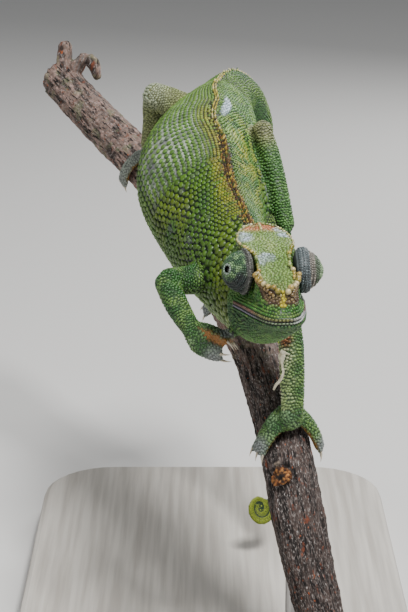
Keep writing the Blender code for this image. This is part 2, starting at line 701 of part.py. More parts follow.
def limbs_and_feet(girths):
    def body_space():
        return swept("body_space", girths, 0, 9.5, 36, 24, "skin_green", keeled, GAP)

    def pair(label, upper_name, lower_name, upper, lower):
        thigh = limb(upper_name + label, upper, [body_space()])
        return limb(lower_name + label, lower, [grown_copy(thigh, GAP), body_space(), branch_grown()])

    shank = pair("left", "upper_arm_", "forearm_", ARM_LEFT, FOREARM_LEFT)
    foot("hand_left", [((14.6, -28.4, 57.0), 2.2), ((14.3, -28.0, 55.0), 2.2)],
         gripping_toes("toes_hand_left_inner", 7.26, (6, -12, -30, -48), 0.48, 3,
                       (2.3, 2.4, 2.2, 2.0), (1.5, 1.5, 1.4, 1.3), 0.35),
         gripping_toes("toes_hand_left_outer", 7.28, (28, 44, 62, 78), 0.45, 2,
                       (2.0, 2.0, 1.9, 1.7), (1.5, 1.45, 1.35, 1.25), 0.35), shank)

    shank = pair("right", "upper_arm_", "forearm_", ARM_RIGHT, FOREARM_RIGHT)
    open_inner = Toes("toes_hand_right_inner",
                      [(-2.6, -33.4, 75.2), (-1.0, -33.8, 75.0), (0.6, -34.4, 74.4), (1.8, -34.9, 73.8)],
                      (2.1, 2.2, 2.1, 1.9), (1.5, 1.45, 1.35, 1.2), [(0.1, 0.3, 1)] * 4, 3)
    open_outer = Toes("toes_hand_right_outer",
                      [(-3.5, -34.6, 72.6), (-2.3, -35.3, 72.2), (-1.0, -36.0, 71.7), (0.2, -36.5, 71.3)],
                      (2.0, 2.2, 2.1, 1.9), (1.6, 1.65, 1.5, 1.3), [(-0.4, -0.6, -0.6)] * 4, 2)
    foot("hand_right", [((-3.9, -33.4, 74.2), 1.85), ((-3.2, -34.2, 73.6), 2.0)], open_inner, open_outer, shank)

    shank = pair("left", "thigh_", "shank_", THIGH_LEFT, SHANK_LEFT)
    foot("foot_left", [((13.9, 1.4, 83.2), 1.9), ((11.8, 1.2, 78.2), 2.0), ((9.3, 1.0, 73.8), 2.1)],
         gripping_toes("toes_foot_left_inner", 5.2, (20, -14, -48, -80), -0.25, 2,
                       (1.9, 2.0, 1.8, 1.6), (1.5, 1.45, 1.3, 1.15)),
         gripping_toes("toes_foot_left_outer", 5.2, (50, 80, 110, 138), 0.25, 3,
                       (1.9, 1.9, 1.8, 1.5), (1.5, 1.45, 1.3, 1.15)), shank)

    shank = pair("right", "thigh_", "shank_", THIGH_RIGHT, SHANK_RIGHT)
    foot("foot_right", [((-14.2, 42.6, 91.4), 1.85), ((-13.7, 44.3, 89.9), 2.0)],
         gripping_toes("toes_foot_right_inner", 2.15, (28, 56, 86, 112), 0.2, 2,
                       (1.8, 1.9, 1.8, 1.6), (1.5, 1.4, 1.3, 1.1)),
         gripping_toes("toes_foot_right_outer", 2.15, (-16, -46, -78, -106), -0.15, 3,
                       (1.7, 1.8, 1.7, 1.5), (1.5, 1.4, 1.25, 1.1)), shank)


# Branch and stand
def perch():
    branch = swept("branch", BRANCH, 0, len(BRANCH) - 1, BRANCH_STEPS, BRANCH_SIDES, "bark", barky)
    stubs = [
        rounded("stub", limb_girths(joints, (1, 0, 0.2)), steps, 9, "bark") for joints, steps in STUBS
    ]
    for t, angle, reach, radius in SCARS:
        inside, outward = perch_place(t, angle, -3.0)
        outside = inside + outward * (3.0 + reach - radius * 0.5)
        stubs.append(rounded("scar", limb_girths([(tuple(inside), radius), (tuple(outside), radius * 0.85)],
                                                 (1, 0, 0.2)), 3, 9, "bark"))
    combine(branch, "UNION", stubs)


def stand():
    width, depth, height = BASE_SIZE
    shape = bmesh.new()
    bmesh.ops.create_cube(shape, size=1.0)
    bmesh.ops.scale(shape, vec=(width, depth, height), verts=shape.verts)
    bmesh.ops.translate(shape, vec=(0, 0, height / 2), verts=shape.verts)
    upright = [e for e in shape.edges if abs(e.verts[0].co.z - e.verts[1].co.z) > 1]
    bmesh.ops.bevel(shape, geom=upright, offset=BASE_CORNER, offset_type="OFFSET", segments=8, profile=0.5,
                    affect="EDGES")
    rim = [e for e in shape.edges if all(v.co.z > height - 0.01 for v in e.verts)]
    bmesh.ops.bevel(shape, geom=rim, offset=BASE_EDGE, offset_type="OFFSET", segments=2, profile=0.5,
                    affect="EDGES")
    object_from("stand_base", shape, "stand")
    for name, (x, y), top in (("stand_peg", PEG_AT, 24), ("stand_rod", REAR_ROD_AT, 50)):
        shape = bmesh.new()
        low = height + GAP
        bmesh.ops.create_cone(shape, cap_ends=True, segments=20, radius1=ROD_RADIUS, radius2=ROD_RADIUS,
                              depth=top - low)
        bmesh.ops.translate(shape, vec=(x, y, (top + low) / 2), verts=shape.verts)
        rod = object_from(name, shape, "rod")
        combine(rod, "DIFFERENCE", [branch_grown()])


for old in list(bpy.data.objects):
    bpy.data.objects.remove(old)
model = bpy.data.collections.new("Fischers chameleon")
bpy.context.scene.collection.children.link(model)

body = TRUNK + TAIL + coil_girths()
neck = trunk_and_tail(body)
combine(neck, "DIFFERENCE", [grown_copy(whole_head("head_space"), GAP)])
bpy.data.objects.remove(bpy.data.objects["head_space"])
head_and_jaw()
limbs_and_feet(body)
perch()
stand()
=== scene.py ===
"""The looks of a Fischer's chameleon on its branch: one skin, its scales laid on as solid mesh, its eyes and
claws, the bark, the display stand and plain studio light. Lengths are in millimetres unless a name says so.
"""

import math
import random
from collections import namedtuple

import bmesh
import bpy
import numpy as np
from mathutils import Matrix, Vector, noise
from mathutils.bvhtree import BVHTree
from mathutils.kdtree import KDTree


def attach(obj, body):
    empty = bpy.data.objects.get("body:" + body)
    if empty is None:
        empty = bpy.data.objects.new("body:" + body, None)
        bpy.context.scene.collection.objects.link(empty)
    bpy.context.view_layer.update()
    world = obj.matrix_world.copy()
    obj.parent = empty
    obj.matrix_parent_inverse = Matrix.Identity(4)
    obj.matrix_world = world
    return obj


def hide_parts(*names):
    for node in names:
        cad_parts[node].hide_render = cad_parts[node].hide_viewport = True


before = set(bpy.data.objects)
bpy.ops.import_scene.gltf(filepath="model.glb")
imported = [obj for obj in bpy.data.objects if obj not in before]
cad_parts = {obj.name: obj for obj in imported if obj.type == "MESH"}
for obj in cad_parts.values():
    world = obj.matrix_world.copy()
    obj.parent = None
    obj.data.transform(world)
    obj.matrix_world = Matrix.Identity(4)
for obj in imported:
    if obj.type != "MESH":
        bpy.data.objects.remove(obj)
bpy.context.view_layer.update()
bpy.ops.object.select_all(action="DESELECT")
MM = 0.001
UP = Vector((0, 0, 1))

# The skin: one continuous surface over the head, the trunk, the tail and the limbs, leathery and satin.
# It is made from the solids, swollen until they run together, remeshed as one, smoothed and drawn in
# again, so that it lies inside them by the depth of the scales.
SKIN_SWELL = 0.35
SKIN_VOXEL = 0.42
SKIN_DEPTH = 0.22
SKIN_ROUNDS = 9
BONELESS = ("stand", "branch", "eyeball", "eye_turret")
FLESH = sorted(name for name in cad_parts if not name.startswith(BONELESS))


def linked(name, data):
    made = bpy.data.objects.new(name, data)
    bpy.context.scene.collection.objects.link(made)
    return made


def places_of(piece):
    """The places of a piece's vertices in millimetres, one row each."""
    return np.array([v.co for v in piece.data.vertices]) / MM


def set_places(piece, places):
    piece.data.vertices.foreach_set("co", (places * MM).astype(np.float32).ravel())
    piece.data.update()


def solid_from(label, nodes):
    """A merged copy of some solids, and the node that each of its faces came from."""
    shape = bmesh.new()
    owner = shape.faces.layers.int.new("owner")
    known = 0
    for number, node in enumerate(nodes):
        shape.from_mesh(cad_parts[node].data)
        shape.faces.ensure_lookup_table()
        for face in shape.faces[known:]:
            face[owner] = number
        known = len(shape.faces)
    bmesh.ops.remove_doubles(shape, verts=shape.verts, dist=0.000002)
    owners = [nodes[face[owner]] for face in shape.faces]
    mesh = bpy.data.meshes.new(label)
    shape.to_mesh(mesh)
    tree = BVHTree.FromBMesh(shape)
    shape.free()
    made = linked(label, mesh)
    return made, owners, tree


def apply_all(piece):
    bpy.ops.object.select_all(action="DESELECT")
    piece.select_set(True)
    bpy.context.view_layer.objects.active = piece
    for modifier in list(piece.modifiers):
        bpy.ops.object.modifier_apply(modifier=modifier.name)
    piece.select_set(False)


def pushed(piece, distance):
    push = piece.modifiers.new("push", "DISPLACE")
    push.direction = "NORMAL"
    push.mid_level = 0
    push.strength = distance * MM


def run_together(piece, swell, voxel, rounds, depth):
    """Swells a solid, remeshes it as one surface, smooths it and draws it in to lie at a depth."""
    if swell:
        pushed(piece, swell)
    remesh = piece.modifiers.new("one surface", "REMESH")
    remesh.mode = "VOXEL"
    remesh.voxel_size = voxel * MM
    remesh.use_smooth_shade = True
    smooth = piece.modifiers.new("smooth", "SMOOTH")
    smooth.factor = 0.5
    smooth.iterations = rounds
    pushed(piece, -swell - depth)
    apply_all(piece)


skin, owners, solid_tree = solid_from("skin", FLESH)
run_together(skin, SKIN_SWELL, SKIN_VOXEL, SKIN_ROUNDS, SKIN_DEPTH)


def tree_of(piece):
    return BVHTree.FromPolygons([v.co for v in piece.data.vertices], [p.vertices for p in piece.data.polygons])


# The lie of the body: the same girths that the solids were swept through, which give each scale its row
Girth = namedtuple("Girth", "centre half_width half_height back")
TRUNK = [
    Girth((9.3, -33.5, 81.3), 4.4, 6.8, (0.08, 0, 1)),
    Girth((7.4, -25.5, 80.1), 5.8, 9.0, (0.12, 0, 1)),
    Girth((5.0, -17.0, 81.0), 7.3, 10.2, (0.13, 0, 1)),
    Girth((1.5, -6.0, 83.6), 8.9, 11.8, (0.15, 0, 1)),
    Girth((-0.6, 4.3, 87.2), 11.4, 13.0, (0.15, 0, 1)),
    Girth((-3.0, 15.0, 92.0), 12.5, 13.3, (0.24, 0, 1)),
    Girth((-1.2, 24.8, 96.4), 11.9, 12.1, (0.24, 0, 1)),
    Girth((1.3, 33.4, 100.6), 8.3, 9.0, (0.04, 0, 1)),
]
TAIL = [
    Girth((3.6, 39.6, 103.2), 5.4, 6.4, (0.12, 0.2, 1)),
    Girth((6.8, 44.4, 101.2), 5.0, 5.7, (0.40, 0.6, 0.66)),
    Girth((8.9, 46.3, 96.2), 4.5, 5.1, (0.55, 0.7, 0.45)),
    Girth((9.5, 45.4, 89.8), 3.9, 4.4, (0.60, 0.8, 0.1)),
    Girth((10.6, 42.2, 80.0), 3.3, 3.8, (0.60, 0.8, -0.1)),
    Girth((12.0, 37.4, 67.5), 2.9, 3.3, (0.58, 0.75, -0.25)),
    Girth((13.2, 30.4, 52.5), 2.4, 2.7, (0.60, 0.71, -0.28)),
    Girth((13.7, 23.4, 38.0), 1.9, 2.05, (0.68, 0.62, -0.30)),
    Girth((13.5, 17.6, 26.4), 1.4, 1.5, (0.76, 0.55, -0.31)),
]
COIL_START = Vector((13.0, 13.5, 17.6))
COIL_HEADING = Vector((-0.01, -0.50, -0.86)).normalized()
COIL_INWARD = Vector((-0.80, -0.50, 0.30)).normalized()
COIL_RADIUS = 3.5
COIL_PITCH = 1.72
COIL_TURNS = 1.75
COIL_THICK = 0.95
COIL_TIP = 0.35
COIL_KEYS = 14


def between(keys, t):
    """The value at t of a smooth curve through equally spaced numbers or vectors."""
    last = len(keys) - 1
    start = max(0, min(int(t), last - 1))
    f = t - start
    a, b = keys[start], keys[start + 1]
    before = keys[start - 1] if start > 0 else a * 2 - b
    after = keys[start + 2] if start + 2 <= last else b * 2 - a
    return (
        a
        + (b - before) * (0.5 * f)
        + (before * 2 - a * 5 + b * 4 - after) * (0.5 * f * f)
        + (a * 3 - b * 3 + after - before) * (0.5 * f * f * f)
    )


def frame_at(girths, t):
    """Middle, heading, sideways and back directions of a swept form at t, and its speed along it."""
    centres = [Vector(g.centre) for g in girths]
    step = 0.02
    travel = between(centres, t + step) - between(centres, t - step)
    heading = travel.normalized()
    back = between([Vector(g.back) for g in girths], t)
    side = heading.cross(back).normalized()
    return between(centres, t), heading, side, side.cross(heading).normalized(), travel.length / (2 * step)


def sizes_at(girths, t):
    return between([g.half_width for g in girths], t), between([g.half_height for g in girths], t)


def coil_girths():
    girths = []
    for i in range(COIL_KEYS):
        share = i / (COIL_KEYS - 1)
        turn = share * COIL_TURNS
        angle = 2 * math.pi * turn
        radius = COIL_RADIUS - COIL_PITCH * turn
        outward = COIL_HEADING * math.sin(angle) - COIL_INWARD * math.cos(angle)
        centre = COIL_START + COIL_INWARD * COIL_RADIUS + outward * radius
        thick = COIL_THICK + (COIL_TIP - COIL_THICK) * share
        girths.append(Girth(tuple(centre), thick * 0.92, thick, tuple(outward)))
    return girths


body = TRUNK + TAIL + coil_girths()
BODY_END = len(body) - 1

# The branch's own line, and the bundles of toes that grip it or hang open, which give the claws their places
BRANCH = [
    Girth((-37.4, 86.2, 99.2), 4.8, 4.8, (0, 0, 1)),
    Girth((-25.5, 66.5, 91.8), 4.9, 4.9, (0, 0, 1)),
    Girth((-14.5, 49.7, 85.1), 4.9, 4.9, (0, 0, 1)),
    Girth((-7.7, 36.4, 80.0), 4.9, 4.9, (0, 0, 1)),
    Girth((-1.3, 20.8, 73.2), 4.8, 4.8, (0, 0, 1)),
    Girth((4.7, 4.6, 65.8), 4.8, 4.8, (0, 0, 1)),
    Girth((9.1, -8.0, 59.7), 4.8, 4.8, (0, -0.2, 1)),
    Girth((12.2, -19.5, 52.2), 4.9, 4.9, (0, -0.5, 1)),
    Girth((14.0, -27.6, 45.6), 5.1, 5.1, (0, -0.8, 0.8)),
    Girth((15.5, -33.4, 38.8), 5.2, 5.2, (0, -1, 0.5)),
    Girth((17.5, -38.0, 30.2), 4.8, 4.8, (0, -1, 0.4)),
    Girth((19.8, -41.8, 21.2), 4.4, 4.4, (0, -1, 0.4)),
    Girth((21.4, -44.2, 15.0), 4.3, 4.3, (0, -1, 0.4)),
]
Toes = namedtuple("Toes", "path half_width half_height backs count")


def perch_place(t, round_angle, off):
    """A place off the branch's bark: round_angle is turned from the back side towards the animal's left."""
    middle, heading, side, back, speed = frame_at(BRANCH, t)
    angle = math.radians(round_angle)
    outward = back * math.cos(angle) - side * math.sin(angle)
    return middle + outward * (sizes_at(BRANCH, t)[0] + off), outward


def gripping_toes(t, angles, drift, count, half_width, half_height, off=0.5):
    """A bundle that reaches round the branch through the angles given, drifting along it as it goes."""
    found = [perch_place(t + drift * i / (len(angles) - 1), angle, half_height[i] + off)
             for i, angle in enumerate(angles)]
    return Toes([tuple(p) for p, outward in found], half_width, half_height, [tuple(o) for p, o in found], count)


BUNDLES = {
    "toes_hand_left_inner": gripping_toes(7.26, (6, -12, -30, -48), 0.48, 3, (2.3, 2.4, 2.2, 2.0),
                                          (1.5, 1.5, 1.4, 1.3), 0.35),
    "toes_hand_left_outer": gripping_toes(7.28, (28, 44, 62, 78), 0.45, 2, (2.0, 2.0, 1.9, 1.7),
                                          (1.5, 1.45, 1.35, 1.25), 0.35),
    "toes_hand_right_inner": Toes([(-2.6, -33.4, 75.2), (-1.0, -33.8, 75.0),
                                   (0.6, -34.4, 74.4), (1.8, -34.9, 73.8)],
                                  (2.1, 2.2, 2.1, 1.9), (1.5, 1.45, 1.35, 1.2), [(0.1, 0.3, 1)] * 4, 3),
    "toes_hand_right_outer": Toes([(-3.5, -34.6, 72.6), (-2.3, -35.3, 72.2),
                                   (-1.0, -36.0, 71.7), (0.2, -36.5, 71.3)],
                                  (2.0, 2.2, 2.1, 1.9), (1.6, 1.65, 1.5, 1.3), [(-0.4, -0.6, -0.6)] * 4, 2),
    "toes_foot_left_inner": gripping_toes(5.2, (20, -14, -48, -80), -0.25, 2, (1.9, 2.0, 1.8, 1.6),
                                          (1.5, 1.45, 1.3, 1.15)),
    "toes_foot_left_outer": gripping_toes(5.2, (50, 80, 110, 138), 0.25, 3, (1.9, 1.9, 1.8, 1.5),
                                          (1.5, 1.45, 1.3, 1.15)),
    "toes_foot_right_inner": gripping_toes(2.15, (28, 56, 86, 112), 0.2, 2, (1.8, 1.9, 1.8, 1.6),
                                           (1.5, 1.4, 1.3, 1.1)),
    "toes_foot_right_outer": gripping_toes(2.15, (-16, -46, -78, -106), -0.15, 3, (1.7, 1.8, 1.7, 1.5),
                                           (1.5, 1.4, 1.25, 1.1)),
}
TOE_TIPS = [bundle.path[-1] for bundle in BUNDLES.values()]
TOE_REACH = 0.8
TOE_END = 0.62
BARE_LENGTH = 2.6
BARE_RADIUS = 0.8
BY_CLAW = 1.4
BLUNT_ROUNDS = 24


def claw_places():
    """Where each claw leaves its toe, the way it heads and its toe's sideways and back directions."""
    places = []
    for bundle in BUNDLES.values():
        girths = [Girth(*row) for row in zip(bundle.path, bundle.half_width, bundle.half_height, bundle.backs)]
        end, heading, side, back, speed = frame_at(girths, len(girths) - 1)
        for i in range(bundle.count):
            offset = (i - (bundle.count - 1) / 2) * (2 * girths[-1].half_width / bundle.count)
            fan = (heading + side * (0.16 * offset)).normalized()
            places.append((end + side * offset * 1.08 + fan * (TOE_REACH + TOE_END), fan, side, back))
    return places


CLAWS = claw_places()


def draw_off_claws():
    """Draws the skin back from the claws, so that only the horn of each stands clear of its toe."""
    places = places_of(skin)
    for base, fan, side, back in CLAWS:
        off = places - np.array(base)
        out = off @ np.array(fan)
        aside = np.linalg.norm(off - out[:, None] * np.array(fan), axis=1)
        on = (out > 0.0) & (out < BARE_LENGTH) & (aside < BARE_RADIUS)
        places[on] -= out[on, None] * np.array(fan) * 0.9
    set_places(skin, places)


def blunt(piece, where, most, rounds):
    """Draws in whatever stands out from the middle of its neighbours by more than a distance."""
    places = places_of(piece)
    edges = np.array([e.vertices for e in piece.data.edges])
    count = np.bincount(edges.ravel(), minlength=len(places))[:, None]
    for _ in range(rounds):
        total = np.zeros_like(places)
        for a, b in ((0, 1), (1, 0)):
            for axis in range(3):
                total[:, axis] += np.bincount(edges[:, a], places[edges[:, b], axis], len(places))
        off = total / count - places
        sharp = where & (np.linalg.norm(off, axis=1) > most)
        places[sharp] += off[sharp] * 0.9
    set_places(piece, places)


draw_off_claws()
skin_places = places_of(skin)
clear_of_coil = skin_places[:, 2] > COIL_START.z + 12
by_claws = np.zeros(len(skin_places), bool)
for base, fan, side, back in CLAWS:
    by_claws |= np.linalg.norm(skin_places - np.array(base), axis=1) < BY_CLAW
blunt(skin, clear_of_coil, 0.07, BLUNT_ROUNDS)
blunt(skin, by_claws, 0.035, BLUNT_ROUNDS)
skin_tree = tree_of(skin)

# The head's own frame: x towards the snout, y to its left and z up from between the eyes
HEAD_AT = Vector((10.0, -39.8, 88.2))
HEAD_YAW = 8.5
HEAD_LIFT = 5
HEAD_LEAN = 1


def head_matrix():
    yaw, lift, lean = (math.radians(a) for a in (HEAD_YAW, HEAD_LIFT, HEAD_LEAN))
    snout = Vector((math.sin(yaw) * math.cos(lift), -math.cos(yaw) * math.cos(lift), math.sin(lift)))
    left = UP.cross(snout).normalized()
    top = snout.cross(left)
    top, left = top * math.cos(lean) + left * math.sin(lean), left * math.cos(lean) - top * math.sin(lean)
    return Matrix.Translation(HEAD_AT) @ Matrix((snout, left, top)).transposed().to_4x4()


on_head = head_matrix()

# The line of the mouth seen from the side, in the head's frame
MOUTH = [(13.5, -6.5), (9.8, -6.35), (6.0, -6.2), (2.0, -6.2), (-2.0, -6.35), (-5.2, -6.6), (-7.4, -7.3)]


def mouth_height(x):
    return np.interp(x, [p[0] for p in reversed(MOUTH)], [p[1] for p in reversed(MOUTH)])


# The markings, which the skin and the scales share. Each is a colour laid over the last by a mask that
# follows the body: how far along it a place is, how far round from the back, or where on the head.
NODES = sorted(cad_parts)
SAMPLES = 420
AT_A_TIME = 4000


def srgb(red, green, blue):
    """A colour as a painter names it, from 0 to 255, in the renderer's own values."""
    return np.array([((c / 255 + 0.055) / 1.055) ** 2.4 if c > 10 else c / 3295 for c in (red, green, blue)])


def smooth_step(low, high, value):
    share = np.clip((value - low) / (high - low), 0, 1)
    return share * share * (3 - 2 * share)


def spot(distance, radius, soft=0.5):
    return 1 - smooth_step(radius * (1 - soft), radius * (1 + soft), distance)


def cloud(places, size, seed):
    """Soft noise from -1 to 1 that varies over a size in millimetres."""
    shift = Vector((seed * 17.1, seed * 5.3, seed * 9.7))
    return np.array([noise.noise(Vector(p) / size + shift) for p in places])


def node_of(places):
    """The number in NODES of the solid nearest to each place."""
    return np.array([NODES.index(owners[solid_tree.find_nearest(Vector(p) * MM)[2]]) for p in places])


def body_samples():
    rows = []
    for i in range(SAMPLES):
        t = BODY_END * i / (SAMPLES - 1)
        middle, heading, side, back, speed = frame_at(body, t)
        rows.append((t, *middle, *side, *back))
    return np.array(rows)


samples = body_samples()


def nearest_samples(rows, places):
    """The sample nearest to each place, how far off it the place is, and its turn round from the back."""
    best = np.empty((len(places), rows.shape[1]))
    for first in range(0, len(places), AT_A_TIME):
        some = places[first:first + AT_A_TIME]
        gaps = ((some[:, None, :] - rows[None, :, 1:4]) ** 2).sum(2)
        best[first:first + AT_A_TIME] = rows[gaps.argmin(1)]
    off = places - best[:, 1:4]
    return best, off, np.arctan2((off * best[:, 4:7]).sum(1), (off * best[:, 7:10]).sum(1))


def body_place(places):
    """How far along the trunk and tail each place is, and its turn from the back, left being positive."""
    best, off, turn = nearest_samples(samples, places)
    return best[:, 0], turn


LEAF = srgb(64, 96, 16)
OLIVE = srgb(90, 106, 12)
SEA_GREEN = srgb(36, 82, 34)
PALE_GREEN = srgb(112, 140, 58)
BELLY = srgb(112, 136, 66)
GAP_GREEN_AND_SHADE = srgb(14, 30, 12)
LAVENDER = srgb(112, 104, 120)
CREAM = srgb(208, 184, 122)
UMBER = srgb(96, 62, 34)
RUST = srgb(182, 108, 66)
CHALK = srgb(176, 188, 198)
LIP_GREEN = srgb(46, 98, 22)
JAW_GREEN = srgb(38, 80, 30)
CHIN_GREEN = srgb(88, 132, 56)
LIP_LAVENDER = srgb(128, 122, 138)
LIP_BROWN = srgb(92, 62, 50)
GOLD = srgb(178, 160, 36)
KHAKI = srgb(124, 128, 78)
TAIL_YELLOW = srgb(132, 142, 8)
LIMB_GREEN = srgb(38, 82, 26)
LIMB_PALE = srgb(116, 142, 66)
PALM_ORANGE = srgb(158, 104, 42)
TOE_GREY = srgb(132, 132, 132)


def over(colours, mask, colour):
    return colours + (colour - colours) * mask[:, None]


def body_marking(places):
    """The colour of the tops of the scales at some places, and of the skin between them, which is kept dark:
    partly the skin's own colour and partly painted shade in the gaps between the scales.
    """
    nodes = node_of(places)
    along, turn = body_place(places)
    aside = np.abs(turn)

    def within(*names):
        return np.isin(nodes, [i for i, n in enumerate(NODES) if n.startswith(names)]).astype(float)

    fine = cloud(places, 2.6, 2)
    colours = np.tile(LEAF, (len(places), 1))
    colours = over(colours, smooth_step(-0.2, 0.4, cloud(places, 9, 1)) * 0.8, OLIVE)
    rear = smooth_step(3.6, 5.0, along)
    colours = over(colours, np.maximum(smooth_step(0.05, 0.5, cloud(places, 6, 3)) * 0.6, rear * 0.45), SEA_GREEN)
    colours = over(colours, rear * (0.35 + 0.4 * smooth_step(-0.2, 0.4, fine)), srgb(104, 138, 54))
    left_flank = smooth_step(0.05, 0.3, turn) * within("torso", "neck")
    colours = over(colours, left_flank * 0.6, srgb(74, 118, 58))
    colours = over(colours, left_flank * smooth_step(-0.1, 0.35, fine) * 0.6, PALE_GREEN)
    warm = left_flank * spot(np.hypot(along - 4.4, (turn - 0.5) * 3), 1.3, 0.6)
    colours = over(colours, warm * smooth_step(-0.3, 0.3, cloud(places, 1.6, 17)) * 0.8, srgb(150, 150, 46))
    colours = over(colours, smooth_step(2.0, 2.7, aside) * 0.8, BELLY)
    between_scales_and_shade = over(np.tile(GAP_GREEN_AND_SHADE, (len(places), 1)), smooth_step(0.0, 0.4, cloud(places, 3, 4)) * 0.3,
                          LAVENDER * 0.7)
    between_scales_and_shade = over(between_scales_and_shade, left_flank * 0.6, SEA_GREEN * 0.5)
    stretched = smooth_step(3.8, 4.5, along) * (1 - smooth_step(6.6, 7.4, along))
    stretched = stretched * spot(np.abs(turn + 1.0), 0.75, 0.3)
    stretched = stretched * (0.45 + 0.55 * smooth_step(-0.3, 0.1, cloud(places, 2.4, 20)))
    between_scales_and_shade = over(between_scales_and_shade, stretched, srgb(158, 166, 150))
    blotch = smooth_step(0.42, 0.52, cloud(places, 2.6, 5)) * within("torso") * spot(np.abs(turn + 1.2), 0.7)
    colours = over(colours, blotch * 0.4, LAVENDER * 0.6)
    between_scales_and_shade = over(between_scales_and_shade, blotch * 0.6, LAVENDER)
    near_ridge = smooth_step(2.0, 3.0, along) * (1 - smooth_step(5.0, 6.5, along))
    near_ridge = near_ridge * np.exp(-((turn + 0.12) / 0.14) ** 2)
    ochre = near_ridge * smooth_step(-0.5, 0.2, cloud(places, 1.2, 12)) * 0.55
    colours = over(colours, ochre, srgb(150, 132, 30))
    colours = over(colours, near_ridge * smooth_step(0.1, 0.5, -fine) * 0.6, UMBER * 0.5)
    between_scales_and_shade = over(between_scales_and_shade, near_ridge * 0.9, UMBER * 0.2)
    # A pale bluish streak beside the ridge near the hips, on the scales and the skin between them: a painted
    # highlight, glare on the back.
    glare_along, glare_turn = (along - 5.95) * 2.3, (turn - 0.20 - 0.08 * (along - 5.95)) * 13
    glare_patch = spot(np.hypot(glare_along, glare_turn), 0.95, 0.3) * within("torso")
    colours = over(colours, glare_patch, CHALK)
    between_scales_and_shade = over(between_scales_and_shade, glare_patch, CHALK * 0.8)

    tail = smooth_step(7.3, 8.6, along) * within("tail")
    colours = over(colours, tail * 0.8, SEA_GREEN)
    colours = over(colours, tail * spot(np.abs(turn - 0.9), 0.35) * 0.6, PALE_GREEN)
    colours = over(colours, tail * smooth_step(0.1, 0.5, fine) * 0.4, PALE_GREEN * 0.8)
    between_scales_and_shade = over(between_scales_and_shade, tail * 0.5, SEA_GREEN * 0.35)
    colours = over(colours, smooth_step(11.5, 14.5, along) * within("tail") * 0.9, TAIL_YELLOW)
    return colours, between_scales_and_shade, within, fine


PALM_SHIFT = {"toes_hand_right_inner": 0.45, "toes_hand_right_outer": -1.0}


def palms(places):
    """From 0 to 1, how far each place is on the smooth inner side of a bundle of toes."""
    nodes = node_of(places)
    most = np.zeros(len(places))
    for node, bundle in BUNDLES.items():
        path, backs = np.array(bundle.path), np.array(bundle.backs)
        nearest = ((places[:, None, :] - path[None]) ** 2).sum(2).argmin(1)
        lift = ((places - path[nearest]) * backs[nearest]).sum(1) / np.linalg.norm(backs[nearest], axis=1)
        lift -= PALM_SHIFT.get(node, 0.0)
        most = np.maximum(most, (nodes == NODES.index(node)) * smooth_step(0.2, -0.9, lift))
    return most


def limb_marking(places, colours, between_scales_and_shade, within, fine):
    """Green limbs with pale lines across them, a khaki right hind leg, and grey and orange hands."""
    limb = within("upper_arm", "forearm", "thigh", "shank", "sole", "toes")
    colours = over(colours, limb, LIMB_GREEN)
    colours = over(colours, limb * smooth_step(-0.35, 0.45, fine) * 0.5, LIMB_PALE)
    between_scales_and_shade = over(between_scales_and_shade, limb * 0.9, srgb(34, 60, 28))
    front = within("forearm_left") * smooth_step(1.5, -2.0, places[:, 0] - 14.5)
    colours = over(colours, front * 0.85, srgb(144, 160, 98))
    colours = over(colours, front * smooth_step(-0.1, 0.3, fine) * 0.7, srgb(178, 184, 142))
    between_scales_and_shade = over(between_scales_and_shade, within("forearm_left") * 0.6, srgb(72, 92, 56))
    elbow = within("forearm_left", "upper_arm_left")
    # A whitish spot on the left elbow: a painted highlight.
    far = np.linalg.norm(places - np.array((12.6, -27.0, 68.0)), axis=1)
    colours = over(colours, elbow * spot(far, 1.5), srgb(196, 190, 160))
    far = np.linalg.norm(places - np.array((12.6, -26.0, 70.7)), axis=1)
    colours = over(colours, elbow * spot(far, 2.0, 0.3), srgb(112, 66, 28))
    between_scales_and_shade = over(between_scales_and_shade, elbow * spot(far, 2.0, 0.3), srgb(52, 30, 14))
    hind = within("thigh_right", "shank_right", "sole_foot_right")
    colours = over(colours, hind * 0.9, KHAKI)
    # Paler high on the right hind leg at its knee: a painted highlight.
    pale = hind * smooth_step(101, 105, places[:, 2]) * smooth_step(-8, -13, places[:, 0])
    colours = over(colours, pale * 0.6, srgb(168, 172, 150))
    between_scales_and_shade = over(between_scales_and_shade, hind * 0.9, KHAKI * 0.6)
    far_leg = within("shank_left", "thigh_left")
    colours = over(colours, far_leg * 0.7, srgb(74, 116, 52))
    between_scales_and_shade = over(between_scales_and_shade, far_leg, srgb(44, 74, 34))
    knee = far_leg * smooth_step(98.0, 101.5, places[:, 2])
    colours = over(colours, knee * 0.8, srgb(126, 122, 84))
    between_scales_and_shade = over(between_scales_and_shade, knee * 0.8, srgb(84, 80, 54))
    hand = within("sole", "toes")
    colours = over(colours, hand * smooth_step(-0.2, 0.5, cloud(places, 1.8, 13)) * 0.5, srgb(122, 150, 108))
    for tip in TOE_TIPS:
        far = np.linalg.norm(places - np.array(tip), axis=1)
        colours = over(colours, hand * spot(far, 2.0, 0.6) * 0.9, TOE_GREY)
        between_scales_and_shade = over(between_scales_and_shade, hand * spot(far, 2.0, 0.6) * 0.8, TOE_GREY * 0.6)
    # The far hind foot is pale grey: partly its grey toe colour and partly a painted highlight on its upper side.
    far_foot = within("toes_foot_right", "sole_foot_right")
    colours = over(colours, far_foot * 0.85, srgb(138, 140, 132))
    between_scales_and_shade = over(between_scales_and_shade, far_foot * 0.85, srgb(92, 94, 90))
    palm = palms(places)
    colours = over(colours, smooth_step(0.0, 0.5, palm), srgb(112, 104, 52))
    colours = over(colours, smooth_step(0.4, 1.0, palm), PALM_ORANGE)
    return colours, over(between_scales_and_shade, palm, PALM_ORANGE * 0.8)


